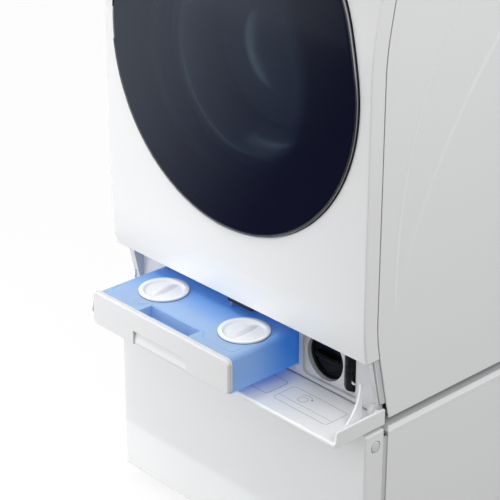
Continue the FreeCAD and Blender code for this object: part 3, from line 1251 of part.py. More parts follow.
os.makedirs("parts", exist_ok=True)
for piece in PIECES:
    save(piece.__name__, piece())
save("pedestal_side_left", mirrored(pedestal_side_right()))
save("washer_side_left", mirrored(washer_side_right()))
for side, cap_x in zip(("left", "right"), CAP_X):
    save("tank_cap_" + side, tank_cap(cap_x))
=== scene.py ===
"""Finishes, trim and studio of a front-loading washer on a drawer-type pedestal washer.

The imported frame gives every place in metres: +X right, +Y to the back, +Z up, the floor at z = 0.
"""
import json
import logging
import math
from collections.abc import Mapping, Sequence
from dataclasses import dataclass, replace
from enum import Enum
from functools import cache, partialmethod

import bmesh
import bpy
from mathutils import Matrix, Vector


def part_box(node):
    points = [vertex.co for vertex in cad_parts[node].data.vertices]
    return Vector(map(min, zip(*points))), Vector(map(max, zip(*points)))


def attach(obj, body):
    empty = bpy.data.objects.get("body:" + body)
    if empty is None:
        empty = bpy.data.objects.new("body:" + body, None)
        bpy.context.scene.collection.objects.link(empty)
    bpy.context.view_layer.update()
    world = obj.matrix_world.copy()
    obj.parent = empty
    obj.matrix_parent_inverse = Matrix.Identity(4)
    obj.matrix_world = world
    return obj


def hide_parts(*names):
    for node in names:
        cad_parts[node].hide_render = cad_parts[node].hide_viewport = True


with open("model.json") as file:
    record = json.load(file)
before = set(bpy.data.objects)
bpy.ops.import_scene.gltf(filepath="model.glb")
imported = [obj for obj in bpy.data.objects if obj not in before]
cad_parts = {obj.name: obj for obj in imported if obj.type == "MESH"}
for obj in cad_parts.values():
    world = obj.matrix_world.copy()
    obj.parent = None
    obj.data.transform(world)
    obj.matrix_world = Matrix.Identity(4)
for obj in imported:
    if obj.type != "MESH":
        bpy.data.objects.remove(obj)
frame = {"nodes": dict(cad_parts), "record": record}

LOG = logging.getLogger("washer")
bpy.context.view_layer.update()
Colour = tuple[float, float, float]
Point = tuple[float, float, float]
Pair = tuple[float, float]
Bounds = tuple[float, float, float, float]
Outline = tuple[Pair, ...]
Socket = bpy.types.NodeSocket
Inputs = dict[str | int, object]
WHITE: Colour = (1.0, 1.0, 1.0)
BLACK: Colour = (0.0, 0.0, 0.0)
EVEN: Point = (1.0, 1.0, 1.0)


class Slot(Enum):
    """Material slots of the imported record."""

    ENAMEL = "white_enamel"
    SHEET = "grey_sheet"
    WHITE = "white_plastic"
    BAY = "bay_plastic"
    DOOR_GLASS = "door_glass"
    BOWL = "bowl_glass"
    BEZEL = "bezel_metal"
    BLACK = "black_plastic"
    BLACK_GLOSS = "black_gloss"
    TANK = "blue_tank"
    RUBBER = "rubber"
    HOSE = "hose_rubber"
    STEEL = "steel"
    ALUMINIUM = "aluminium"
    IRON = "iron"
    TUB = "tub_plastic"
    BUTTON = "button_grey"


class Axis(Enum):
    """Axis that a turned piece lies along."""

    X = 0
    Y = 1
    Z = 2


# Shader maths

class Signal:
    """A number that varies over a surface, held as the output socket of a node."""

    def __init__(self, graph: "Graph", socket: Socket) -> None:
        """Keeps the graph and the socket."""
        self.graph = graph
        self.socket = socket

    def maths(self, operation: str, *others: "Signal | float") -> "Signal":
        """Result of a Math node, with this signal as its first input and the others after it."""
        node = self.graph.node("Math", dict(enumerate((self, *others))), operation=operation)
        return Signal(self.graph, node.outputs[0])

    __add__ = __radd__ = partialmethod(maths, "ADD")
    __sub__ = partialmethod(maths, "SUBTRACT")
    __mul__ = __rmul__ = partialmethod(maths, "MULTIPLY")
    __truediv__ = partialmethod(maths, "DIVIDE")
    __pow__ = partialmethod(maths, "POWER")
    either = partialmethod(maths, "MAXIMUM")
    fraction = partialmethod(maths, "FRACT")
    whole = partialmethod(maths, "FLOOR")
    root = partialmethod(maths, "SQRT")

    def __rsub__(self, other: float) -> "Signal":
        """Difference, with the number first."""
        return -1.0 * self + other

    def between(self, low: float, high: float) -> "Signal":
        """The signal spread from low, at 0, to high, at 1."""
        return low + (high - low) * self

    def share(self, part: float, rest: "Signal") -> "Signal":
        """A part of this signal, with the rest from another one."""
        return part * self + (1.0 - part) * rest

    def step(self, low: float, high: float) -> "Signal":
        """The signal eased from 0, at low, to 1, at high."""
        node = self.graph.node("MapRange", {"Value": self, "From Min": low, "From Max": high},
                               interpolation_type="SMOOTHSTEP")
        return Signal(self.graph, node.outputs[0])


class Graph:
    """Node tree of one finish, of the floor or of the world."""

    edge_samples = 4

    def __init__(self, owner: bpy.types.ID) -> None:
        """Gives its owner an empty tree.

        Args:
            owner: a material or the world.
        """
        owner.use_nodes = True
        self.tree = owner.node_tree
        self.tree.nodes.clear()

    def node(self, kind: str, sockets: Inputs | None = None, **settings: object) -> bpy.types.Node:
        """Adds a node.

        Args:
            kind: the node's type, without the word that every type starts with.
            sockets: values, signals or sockets for its inputs.
            settings: its own settings, set before its inputs.

        Returns:
            The node.
        """
        made = self.tree.nodes.new("ShaderNode" + kind)
        for key, value in settings.items():
            setattr(made, key, value)
        for key, value in (sockets or {}).items():
            if isinstance(value, Signal):
                value = value.socket
            if isinstance(value, Socket):
                self.tree.links.new(value, made.inputs[key])
            else:
                made.inputs[key].default_value = value
        return made

    def place(self, stretch: Point = EVEN) -> Socket:
        """Object coordinates, stretched along each axis.

        Args:
            stretch: factor along X, Y and Z.

        Returns:
            The vector's socket.
        """
        own = self.node("TexCoord").outputs["Object"]
        if stretch == EVEN:
            return own
        return self.node("VectorMath", {0: own, 1: stretch}, operation="MULTIPLY").outputs[0]

    def split(self, vector: Socket) -> tuple[Signal, Signal, Signal]:
        """X, Y and Z of a vector."""
        parts = self.node("SeparateXYZ", {0: vector}).outputs
        return tuple(Signal(self, socket) for socket in parts)

    def noise(self, scale: float, detail: float, stretch: Point = EVEN) -> Signal:
        """Noise from 0 to 1 with its cells for each metre, its octaves and its stretch along each axis."""
        node = self.node("TexNoise", {"Vector": self.place(stretch), "Scale": scale, "Detail": detail})
        return Signal(self, node.outputs[0])

    def cells(self, scale: float) -> Signal:
        """Distance to the nearest of scattered points, for crystals and cast grain."""
        node = self.node("TexVoronoi", {"Vector": self.place(), "Scale": scale})
        return Signal(self, node.outputs["Distance"])

    def mix(self, share: Signal, first: Colour | Socket, second: Colour | Socket) -> Socket:
        """Colour between the first one, at 0, and the second one, at 1."""
        low, high = ((*c, 1.0) if isinstance(c, tuple) else c for c in (first, second))
        return self.node("Mix", {0: share, 6: low, 7: high}, data_type="RGBA").outputs[2]

    def relief(self, height: Signal, depth: float, edge: float) -> Socket:
        """Normal of a fine relief.

        Args:
            height: the relief from 0 to 1.
            depth: its height in metres.
            edge: radius of softened edges in metres, 0 for none.

        Returns:
            The normal's socket.
        """
        sockets: Inputs = {"Height": height, "Distance": depth, "Strength": 1.0}
        if edge > 0:
            soft = self.node("Bevel", {"Radius": edge}, samples=self.edge_samples)
            sockets["Normal"] = soft.outputs[0]
        return self.node("Bump", sockets).outputs[0]

    def principled(self, sockets: Inputs) -> Socket:
        """Principled shader with these inputs."""
        return self.node("BsdfPrincipled", sockets).outputs[0]

    def plain(self, kind: str, colour: Colour, **more: float) -> Socket:
        """Shader of one colour, with values for more of its inputs."""
        return self.node(kind, {"Color": (*colour, 1.0), **more}).outputs[0]

    def blend(self, share: Signal | float, first: Socket, second: Socket) -> Socket:
        """Shader between the first one, at 0, and the second one, at 1."""
        return self.node("MixShader", {0: share, 1: first, 2: second}).outputs[0]

    def seen(self) -> Signal:
        """Tells the rays that show the background: from the camera, mirrored or through glass.

        Returns:
            1 for these rays, 0 for others.
        """
        rays = self.node("LightPath").outputs
        camera, glossy, through = (Signal(self, rays[name]) for name in
                                   ("Is Camera Ray", "Is Glossy Ray", "Is Transmission Ray"))
        return camera.either(glossy).either(through)


# Finishes

FINE, GRAINY, CLOUDY = 2.0, 3.0, 4.0  # octaves of noise
DOOR_CENTRE: Point = (0.0, -0.252, 0.8824)


@dataclass(frozen=True)
class Finish:
    """Moulded or painted finish: clouded tone, varying gloss and a fine grain."""

    slot: Slot
    tone: Colour
    shade: Colour
    clouds: float
    gloss: Pair
    grain: float
    relief: float
    metal: float = 0.0
    coat: float = 0.0
    edge: float = 0.0
    shine: float = 0.5
    clouding: float = 0.7
    dulling: float = 0.5
    coat_roughness: float = 0.05

    def texture(self, graph: Graph) -> Signal:
        """Grain of the surface from 0 to 1."""
        return graph.noise(self.grain, GRAINY)

    def sockets(self, graph: Graph) -> Inputs:
        """Sockets of the finish's skin.

        Args:
            graph: tree to add them to.

        Returns:
            The skin's values and links by socket.
        """
        cloud = graph.noise(self.clouds, CLOUDY)
        grain = self.texture(graph)
        return {"Base Color": graph.mix(cloud.share(self.clouding, grain), self.tone, self.shade),
                "Roughness": cloud.share(self.dulling, grain).between(*self.gloss),
                "Normal": graph.relief(grain, self.relief, self.edge),
                "Metallic": self.metal, "Coat Weight": self.coat, "Coat Roughness": self.coat_roughness,
                "Specular IOR Level": self.shine}

    def shader(self, graph: Graph) -> Socket:
        """Shader of the finish."""
        return graph.principled(self.sockets(graph))


@dataclass(frozen=True)
class Brushed(Finish):
    """Metal with brush marks along one axis."""

    marks: Point = (40.0, 1.0, 40.0)
    spacing: float = 40.0
    marking: float = 0.7

    def texture(self, graph: Graph) -> Signal:
        """Long fine marks over a finer grain."""
        marks = graph.noise(self.grain / self.spacing, CLOUDY, self.marks)
        return marks.share(self.marking, graph.noise(self.grain, FINE))


@dataclass(frozen=True)
class Cast(Finish):
    """Cast, moulded or zinc-coated surface with crystals or pits."""

    crystals: float = 0.6
    spacing: float = 3.0

    def texture(self, graph: Graph) -> Signal:
        """Cells softened by noise."""
        return graph.cells(self.grain).share(self.crystals, graph.noise(self.grain / self.spacing, CLOUDY))


@dataclass(frozen=True)
class Perforated(Brushed):
    """Drum sheet with staggered rows of round holes in its wall; the holes are painted: dark as painted
    shade, with a sunk relief.
    """

    axis: Axis = Axis.Y
    centre: Point = DOOR_CENTRE
    radius: float = 0.243
    pitch: float = 0.015
    hole: float = 0.2
    rim: Pair = (-0.04, 0.02)
    wall: Pair = (-0.008, -0.006)
    # painted shade: colour of the holes, for the dark behind them
    dark: Colour = (0.012, 0.012, 0.014)
    dull: float = 0.3
    sink: float = 0.0006

    def shader(self, graph: Graph) -> Socket:
        """Brushed steel whose holes are painted dark, as painted shade of the drum's inside.

        Args:
            graph: tree to add it to.

        Returns:
            The shader's socket.
        """
        x, y, z = graph.split(graph.place())
        across = z - self.centre[2] if self.axis is Axis.Y else y - self.centre[1]
        along = y if self.axis is Axis.Y else z
        aside = x - self.centre[0]
        turn = across.maths("ARCTAN2", aside) * (self.radius / self.pitch)
        row = along / self.pitch + 0.5 * turn.whole()
        middle = (turn.fraction() - 0.5) ** 2.0 + (row.fraction() - 0.5) ** 2.0
        away = (aside * aside + across * across).root()
        wall = away.step(*(self.radius + inset for inset in self.wall))
        holes = wall * (1.0 - middle.root().step(*(self.hole + inset for inset in self.rim)))
        grain = self.texture(graph)
        return graph.principled({
            # painted shade in the holes
            "Base Color": graph.mix(holes, graph.mix(grain, self.tone, self.shade), self.dark),
            "Roughness": grain.between(*self.gloss) + self.dull * holes,
            "Metallic": 1.0 - holes,
            "Normal": graph.relief(1.0 - holes, self.sink, self.edge)})


@dataclass(frozen=True)
class Smoked(Finish):
    """Door glass: a painted reflection that darkens to the lower right, round a window that shows a little of
    the bowl.
    """

    centre: Point = DOOR_CENTRE
    # slope and fade lay the painted reflection across the glass
    slope: Pair = (-0.8, 0.6)
    fade: Pair = (-0.22, 0.20)
    haziness: float = 0.02
    window: Pair = (0.150, 0.190)
    clear: float = 0.5
    # lift raises the painted reflection inside the window, where part of the light passes through
    lift: float = 1.9
    smoke: Colour = (0.72, 0.78, 0.82)

    def shader(self, graph: Graph) -> Socket:
        """Skin with the painted reflection and window, mixed by the distance from the centre.

        Args:
            graph: tree to add it to.

        Returns:
            The shader's socket.
        """
        x, _, z = graph.split(graph.place())
        up = z - self.centre[2]
        haze = graph.noise(self.clouds, GRAINY)
        down = self.slope[0] * x + self.slope[1] * up + self.haziness * (haze - 0.5)
        # painted reflection: lighter at the upper left, darker at the lower right
        painted_reflection = down.step(*self.fade)
        edge = (x * x + up * up).root().step(*self.window)
        painted_reflection_tones = []
        for gain in (self.lift, 1.0):
            ends = (tuple(gain * part for part in colour) for colour in (self.tone, self.shade))
            painted_reflection_tones.append(graph.mix(painted_reflection, *ends))
        skin = graph.principled({
            "Base Color": graph.mix(edge, *painted_reflection_tones), "Roughness": haze.between(*self.gloss),
            "Normal": graph.relief(graph.noise(self.grain, FINE), self.relief, self.edge),
            "Specular IOR Level": self.shine})
        through = graph.plain("BsdfTransparent", self.smoke)
        return graph.blend(self.clear * (1.0 - edge), skin, through)


@dataclass(frozen=True)
class Gleam:
    """Painted glint: an arc that glows by emission along an edge or a step of the bowl."""

    radius: float
    width: float
    toward: Pair
    spread: Pair
    strength: float
    tail: float = 0.003

    def signal(self, x: Signal, up: Signal) -> Signal:
        """Brightness of the arc, sharp outside and fading inward.

        Args:
            x: place across the door.
            up: place above the door's centre.

        Returns:
            The brightness.
        """
        away = (x * x + up * up).root()
        inside = away.step(self.radius - self.width, self.radius)
        band = inside * (1.0 - away.step(self.radius, self.radius + self.tail))
        facing = ((x * self.toward[0] + up * self.toward[1]) / self.radius).step(*self.spread)
        return self.strength * (band * facing)


@dataclass(frozen=True)
class Clear(Finish):
    """Clear pressed glass, faintly tinted, with painted glints that glow by emission along its edges and
    steps.
    """

    centre: Point = DOOR_CENTRE
    painted_glints: tuple[Gleam, ...] = ()
    gleam_tone: Colour = (0.80, 0.95, 1.0)
    index: float = 1.5
    mirror: Pair = (0.28, 0.98)

    def sockets(self, graph: Graph) -> Inputs:
        """Sockets of the skin, with the painted glints as its emission.

        Args:
            graph: tree to add them to.

        Returns:
            The skin's values and links by socket.
        """
        x, _, z = graph.split(graph.place())
        # painted highlights: the glints glow by emission
        light: Signal | float = 0.0
        for gleam in self.painted_glints:
            light = light + gleam.signal(x, z - self.centre[2])
        return {**super().sockets(graph), "Emission Color": graph.mix(light, BLACK, self.gleam_tone),
                "Emission Strength": 1.0}

    def shader(self, graph: Graph) -> Socket:
        """Glass that mirrors at a glance and lets the rest through.

        Args:
            graph: tree to add it to.

        Returns:
            The shader's socket.
        """
        glance = Signal(graph, graph.node("Fresnel", {"IOR": self.index}).outputs[0])
        through = graph.plain("BsdfTransparent", self.tone)
        return graph.blend(glance.between(*self.mirror), through, super().shader(graph))


@dataclass(frozen=True)
class Tinted(Finish):
    """Translucent moulding with painted shade: its paler shade colour at the front, its deeper tone at the
    back and on its flanks.
    """

    glow: Colour = (0.30, 0.60, 1.0)
    # painted light: a faint blue glow by emission, standing in for light through the tank
    light: Colour = (0.005, 0.03, 0.085)
    # painted light: a deeper blue glow of the underside, which lights the flap below as light through the
    # tank would
    cast: Colour = (0.0, 0.055, 0.21)
    # heights over which the underside's painted glow gives way to the upper glow
    base: Pair = (0.385, 0.388)
    # depths over which the tank darkens towards the back, under the front panel: painted shade
    painted_shade_span: Pair = (-0.325, -0.185)
    veil: float = 0.12
    middle: float = -0.0565
    flank: Pair = (0.1535, 0.1620)
    # extra painted shade on the tank's flanks
    flank_painted_shade: float = 0.24
    through: float = 0.20
    scatter: float = 0.28

    def shader(self, graph: Graph) -> Socket:
        """Skin, scattered light and clear share; the skin carries painted shade and glows by emission as
        painted light, deeper blue on the underside to light the flap below.

        Args:
            graph: tree to add it to.

        Returns:
            The shader's socket.
        """
        x, y, z = graph.split(graph.place())
        grain = self.texture(graph)
        beside = ((x - self.middle) ** 2.0).root().step(*self.flank)
        veil = self.veil * (graph.noise(self.clouds, CLOUDY) - 0.5)
        # painted shade: from the paler shade colour at the front to the deeper tone at the back and on the
        # flanks; the veil adds random clouding
        depth = y.step(*self.painted_shade_span) + veil + self.flank_painted_shade * beside
        skin = graph.principled({
            "Base Color": graph.mix(depth, self.shade, self.tone),
            "Roughness": grain.between(*self.gloss),
            # painted light: the emission glow
            "Emission Color": graph.mix(z.step(*self.base), self.cast, self.light), "Emission Strength": 1.0,
            "Normal": graph.relief(grain, self.relief, self.edge), "Coat Weight": self.coat})
        inside = graph.plain("BsdfTranslucent", self.glow)
        clear = graph.plain("BsdfTransparent", self.glow)
        return graph.blend(self.through, graph.blend(self.scatter, skin, inside), clear)


# painted glints on the bowl, glowing by emission: radius, width, toward, spread and strength
PAINTED_GLINTS = (Gleam(0.166, 0.024, (-0.97, 0.10), (0.60, 1.0), 0.12),
          Gleam(0.166, 0.003, (-0.70, -0.71), (0.72, 0.98), 0.40),
          Gleam(0.075, 0.030, (-0.95, -0.30), (0.30, 0.98), 0.21),
          Gleam(0.150, 0.006, (0.30, -0.95), (0.80, 0.99), 0.21))
FINISHES: dict[Slot, Finish] = {finish.slot: finish for finish in (
    Finish(Slot.ENAMEL, (0.84, 0.845, 0.85), (0.80, 0.805, 0.81), 3.0, (0.16, 0.24), 420.0, 0.000008,
           coat=0.6, edge=0.0012),
    Cast(Slot.SHEET, (0.50, 0.51, 0.52), (0.36, 0.37, 0.38), 9.0, (0.34, 0.55), 90.0, 0.00002, metal=0.75),
    Finish(Slot.WHITE, (0.85, 0.855, 0.86), (0.81, 0.815, 0.825), 6.0, (0.24, 0.34), 1500.0, 0.00001,
           coat=0.3, edge=0.0008),
    Finish(Slot.BAY, (0.66, 0.665, 0.675), (0.60, 0.605, 0.615), 9.0, (0.42, 0.55), 1900.0, 0.00003,
           edge=0.0008),
    # door glass: tone and shade are the dark and light ends of its painted reflection
    Smoked(Slot.DOOR_GLASS, (0.004, 0.005, 0.017), (0.043, 0.049, 0.064), 3.0, (0.03, 0.06), 300.0, 0.000001,
           shine=0.4),
    Clear(Slot.BOWL, (0.86, 0.90, 0.91), (0.80, 0.85, 0.86), 7.0, (0.03, 0.07), 160.0, 0.00004,
          painted_glints=PAINTED_GLINTS),
    Brushed(Slot.BEZEL, (0.42, 0.42, 0.43), (0.30, 0.30, 0.31), 14.0, (0.20, 0.34), 1400.0, 0.000006,
            metal=1.0),
    Finish(Slot.BLACK, (0.014, 0.014, 0.016), (0.024, 0.024, 0.027), 12.0, (0.36, 0.52), 1700.0, 0.00004),
    Finish(Slot.BLACK_GLOSS, (0.008, 0.008, 0.010), (0.013, 0.013, 0.015), 10.0, (0.10, 0.18), 900.0,
           0.000006, coat=0.4),
    # tank: shade is the paler front colour and tone the deeper back colour of its painted shade
    Tinted(Slot.TANK, (0.12, 0.50, 1.0), (0.55, 0.73, 0.82), 10.0, (0.18, 0.30), 700.0, 0.00002, coat=0.2),
    Finish(Slot.RUBBER, (0.055, 0.055, 0.06), (0.085, 0.085, 0.09), 15.0, (0.62, 0.8), 1300.0, 0.00006),
    Finish(Slot.HOSE, (0.010, 0.010, 0.011), (0.02, 0.02, 0.022), 22.0, (0.34, 0.5), 1500.0, 0.00003),
    Brushed(Slot.STEEL, (0.62, 0.63, 0.64), (0.50, 0.51, 0.53), 10.0, (0.20, 0.36), 1600.0, 0.00001,
            metal=1.0),
    Cast(Slot.ALUMINIUM, (0.60, 0.61, 0.62), (0.47, 0.48, 0.50), 12.0, (0.40, 0.6), 380.0, 0.00010,
         metal=0.9),
    Cast(Slot.IRON, (0.16, 0.16, 0.165), (0.09, 0.09, 0.095), 14.0, (0.6, 0.85), 260.0, 0.00022, metal=0.4),
    Cast(Slot.TUB, (0.40, 0.42, 0.45), (0.33, 0.35, 0.38), 8.0, (0.45, 0.6), 700.0, 0.00005),
    Finish(Slot.BUTTON, (0.70, 0.71, 0.72), (0.66, 0.67, 0.68), 30.0, (0.28, 0.36), 1800.0, 0.00001,
           coat=0.3, edge=0.0006))}
# painted shade: a darker copy of the white plastic for the drawer front and its scoop, standing in for the
# shade on the front face
DRAWER_WHITE_PAINTED_SHADE = Finish(Slot.WHITE, (0.735, 0.74, 0.745), (0.695, 0.70, 0.705), 6.0, (0.26, 0.36), 1500.0,
                      0.00001, coat=0.3, edge=0.0008)
CAP_WHITE = Finish(Slot.WHITE, (0.865, 0.885, 0.92), (0.83, 0.85, 0.89), 12.0, (0.22, 0.32), 1500.0, 0.00001,
                   coat=0.3)
INK = Finish(Slot.WHITE, (0.13, 0.14, 0.16), (0.18, 0.19, 0.21), 40.0, (0.4, 0.5), 2200.0, 0.00001)
FILTER_BLACK = Finish(Slot.BLACK, (0.002, 0.002, 0.002), (0.004, 0.004, 0.004), 20.0, (0.16, 0.28), 1500.0,
                      0.00002, shine=0.16)
HOSE_BLACK = Finish(Slot.HOSE, (0.003, 0.003, 0.003), (0.006, 0.006, 0.006), 22.0, (0.3, 0.42), 1500.0,
                    0.00003, shine=0.2)
# painted shade: dark blue of the rings just outside the caps, for the gap at their necks
CAP_GAP_PAINTED_SHADE = Finish(Slot.TANK, (0.03, 0.13, 0.46), (0.05, 0.18, 0.55), 30.0, (0.3, 0.4), 1500.0, 0.00001)
# painted shade: a blue deeper than the tank round it, which makes the raised bead's line show
BEAD_PAINTED_SHADE_BLUE = Finish(Slot.TANK, (0.22, 0.48, 0.90), (0.26, 0.52, 0.92), 30.0, (0.2, 0.3), 1500.0, 0.00001)
DRUM_STEEL = Perforated(Slot.STEEL, (0.66, 0.67, 0.68), (0.54, 0.55, 0.57), 10.0, (0.16, 0.30), 1500.0,
                        0.00001, metal=1.0)
SMALL_DRUM_STEEL = replace(DRUM_STEEL, marks=(40.0, 40.0, 1.0), axis=Axis.Z, centre=(0.0, 0.0479, 0.0),
                           radius=0.212)


@cache
def material(finish: Finish) -> bpy.types.Material:
    """Material of a finish, made at its first use.

    Args:
        finish: the finish.

    Returns:
        The material.
    """
    made = bpy.data.materials.new(type(finish).__name__.lower() + "_" + finish.slot.value)
    graph = Graph(made)
    graph.node("OutputMaterial", {"Surface": finish.shader(graph)})
    return made


# Meshes

TIP = 0.0002  # least radius of a turned form, at its axis


def middle(node: str) -> Vector:
    """Middle of a node's box."""
    low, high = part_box(node)
    return (low + high) / 2


def add_object(name: str, data: bpy.types.ID) -> bpy.types.Object:
    """Adds an object to the scene.

    Args:
        name: name of the object.
        data: mesh, camera or lamp that it shows.

    Returns:
        The object.
    """
    made = bpy.data.objects.new(name, data)
    bpy.context.scene.collection.objects.link(made)
    return made


def even_steps(count: int, start: float = 0.0, end: float = 1.0) -> list[float]:
    """Numbers in even steps from start to end."""
    return [start + (end - start) * i / count for i in range(count + 1)]


def round_corners(bounds: Bounds, radius: float, steps: int) -> list[tuple[Pair, Pair]]:
    """Goes round the corners of a rectangle.

    Args:
        bounds: least and most along the first axis, then along the second.
        radius: radius of the corners.
        steps: steps along each corner.

    Returns:
        A corner's centre and the direction from it, for each step.
    """
    a0, a1, b0, b1 = bounds
    centres = ((a1 - radius, b1 - radius), (a0 + radius, b1 - radius),
               (a0 + radius, b0 + radius), (a1 - radius, b0 + radius))
    path = []
    for quarter, centre in enumerate(centres):
        for turn in even_steps(steps, math.pi / 2 * quarter, math.pi / 2 * (quarter + 1)):
            path.append((centre, (math.cos(turn), math.sin(turn))))
    return path


class Mesh:
    """Points and faces of one piece, added to in steps."""

    crease = math.radians(40.0)
    tube_sides = 12

    def __init__(self) -> None:
        """Starts empty."""
        self.points: list[Point] = []
        self.faces: list[tuple[int, ...]] = []

    def loft(self, rings: Sequence[Sequence[Point]], closed: bool = False) -> "Mesh":
        """Adds a skin through closed rings of points.

        Args:
            rings: rings with as many points each.
            closed: whether the last ring joins the first; if not, both get a face.

        Returns:
            The mesh itself.
        """
        base = len(self.points)
        count = len(rings[0])
        for ring in rings:
            self.points.extend(tuple(p) for p in ring)
        for i in range(len(rings) if closed else len(rings) - 1):
            a, b = base + i * count, base + (i + 1) % len(rings) * count
            for j in range(count):
                k = (j + 1) % count
                self.faces.append((a + j, a + k, b + k, b + j))
        if not closed:
            self.faces.append(tuple(base + j for j in reversed(range(count))))
            self.faces.append(tuple(base + (len(rings) - 1) * count + j for j in range(count)))
        return self

    def turned(self, outline: Sequence[Pair], centre: Point, axis: Axis, count: int = 96,
               closed: bool = False) -> "Mesh":
        """Adds a turned form.

        Args:
            outline: radius and place along the axis, from one end to the other.
            centre: a point of the axis.
            axis: direction of the axis.
            count: points round it.
            closed: whether the outline ends where it starts, as a ring's does.

        Returns:
            The mesh itself.
        """
        rings = []
        for radius, along in outline:
            ring = []
            for i in range(count):
                turn = 2 * math.pi * i / count
                u, v = radius * math.cos(turn), radius * math.sin(turn)
                offset = {Axis.X: (along, u, v), Axis.Y: (u, along, v), Axis.Z: (u, v, along)}[axis]
                ring.append(tuple(c + o for c, o in zip(centre, offset)))
            rings.append(ring)
        return self.loft(rings, closed)

    def tube(self, path: Sequence[Vector], radius: float) -> "Mesh":
        """Adds a round tube along a path.

        Args:
            path: points of its middle line.
            radius: half its thickness.

        Returns:
            The mesh itself.
        """
        turns = [2 * math.pi * j / self.tube_sides for j in range(self.tube_sides)]
        rings = []
        for i, point in enumerate(path):
            along = (path[min(i + 1, len(path) - 1)] - path[max(i - 1, 0)]).normalized()
            side = along.cross(Vector((0.0, 0.0, 1.0))).normalized()
            up = side.cross(along)
            rings.append([tuple(point + radius * (math.cos(t) * side + math.sin(t) * up)) for t in turns])
        return self.loft(rings)

    def piece(self, name: str, finish: Finish, body: str, replaces: Sequence[str] = ()) -> None:
        """Makes the object, dresses it and lets it ride on a body.

        Args:
            name: name of the piece.
            finish: its finish.
            body: body that it moves with.
            replaces: nodes that it stands for.
        """
        data = bpy.data.meshes.new(name)
        data.from_pydata(self.points, [], self.faces)
        data.validate()
        outward = bmesh.new()
        outward.from_mesh(data)
        bmesh.ops.recalc_face_normals(outward, faces=outward.faces)
        outward.to_mesh(data)
        outward.free()
        data.polygons.foreach_set("use_smooth", [True] * len(data.polygons))
        data.set_sharp_from_angle(angle=self.crease)
        data.materials.append(material(finish))
        made = add_object(name, data)
        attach(made, body)
        if replaces:
            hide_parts(*replaces)
        LOG.info("%s rides on %s", name, body)


# Sub-assemblies

@dataclass
class Front:
    """Side view of the front: a toe that curls back, a flat and a head that leans back."""

    flat_y: float = -0.2595
    toe_z: float = 0.545
    toe_radius: float = 0.31202
    lean_z: float = 0.9266
    lean_radius: float = 0.3665
    lean: float = math.radians(10.5)

    def y(self, z: float) -> float:
        """Depth of the front at a height.

        Args:
            z: height above the floor.

        Returns:
            The y of its surface.
        """
        if z < self.toe_z:
            turn = math.asin((self.toe_z - z) / self.toe_radius)
            return self.flat_y + self.toe_radius * (1 - math.cos(turn))
        bend_z = self.lean_z + self.lean_radius * math.sin(self.lean)
        rise = min(max(z - self.lean_z, 0.0), bend_z - self.lean_z)
        bent = self.flat_y + self.lean_radius * (1 - math.cos(math.asin(rise / self.lean_radius)))
        return bent + max(z - bend_z, 0.0) * math.tan(self.lean)


@dataclass
class Door:
    """Glass and bezel of the round door and the trim of its opening, which follow the front's curve."""

    front: Front
    centre: Point = DOOR_CENTRE
    glass_radius: float = 0.2728
    glass_proud: float = 0.0045
    glass_seat: float = 0.0005
    glass_rings: tuple[int, int] = (44, 16)
    glass_edge: Outline = ((0.0022, 0.0), (0.0012, 0.0002), (0.0005, 0.0006), (0.0001, 0.0012), (0.0, 0.0018))
    bezel: Pair = (0.2729, 0.2764)
    bezel_inside: Outline = ((0.0, 0.0040), (0.0003, 0.0046), (0.0010, 0.0050))
    bezel_outside: Outline = ((0.0018, 0.0050), (0.0007, 0.0046), (0.0001, 0.0038), (0.0, 0.0030))
    hinge_half: float = 0.0275
    trim: Pair = (0.2778, 0.2797)
    trim_depth: Pair = (-0.0002, -0.012)
    trim_edge: float = 0.0006
    trim_half: float = math.radians(128.0)
    turns: int = 160

    def on_front(self, radius: float, turn: float, proud: float) -> Point:
        """Point of the door at a radius and an angle, this far in front of the front's surface."""
        z = self.centre[2] + radius * math.sin(turn)
        return (radius * math.cos(turn), self.front.y(z) - proud, z)

    def ring(self, radius: float, proud: float) -> list[Point]:
        """Closed ring of points on the door."""
        return [self.on_front(radius, 2 * math.pi * i / self.turns, proud) for i in range(self.turns)]

    def band(self, section: Sequence[Pair], start: float, end: float) -> Mesh:
        """Ring along the front, between two angles, whose section has radii and heights in front of it."""
        return Mesh().loft([[self.on_front(radius, turn, proud) for radius, proud in section]
                            for turn in even_steps(self.turns, start, end)])

    def glass(self) -> None:
        """Builds the pane with its ground edge."""
        edge, seat = self.glass_radius, self.glass_seat
        face, back = self.glass_rings
        rings = [self.ring(max(edge * i / face, 2 * TIP), self.glass_proud) for i in range(face)]
        rings.extend(self.ring(edge - inset, self.glass_proud - drop) for inset, drop in self.glass_edge)
        rings.append(self.ring(edge, seat))
        rings.extend(self.ring(max(edge * i / back, 2 * TIP), seat) for i in reversed(range(back)))
        Mesh().loft(rings).piece("door_glass_pane", FINISHES[Slot.DOOR_GLASS], "door", ["door_glass"])

    def build(self) -> None:
        """Builds the glass, the bezel, open at the hinge, and the opening's trim."""
        self.glass()
        inner, outer = self.bezel
        section = [(inner, self.glass_seat), *((inner + inset, proud) for inset, proud in self.bezel_inside),
                   *((outer - inset, proud) for inset, proud in self.bezel_outside), (outer, self.glass_seat)]
        gap = math.asin(self.hinge_half / inner)
        self.band(section, math.pi + gap, 3 * math.pi - gap).piece(
            "door_bezel_ring", FINISHES[Slot.BEZEL], "door", ["door_bezel"])
        (near, far), (face, depth) = self.trim, self.trim_depth
        edge = self.trim_edge
        section = [(near, depth), (near, face - edge), (near + edge, face), (far, face), (far, depth)]
        self.band(section, -self.trim_half, self.trim_half).piece(
            "door_opening_trim", FINISHES[Slot.ENAMEL], "cabinet")


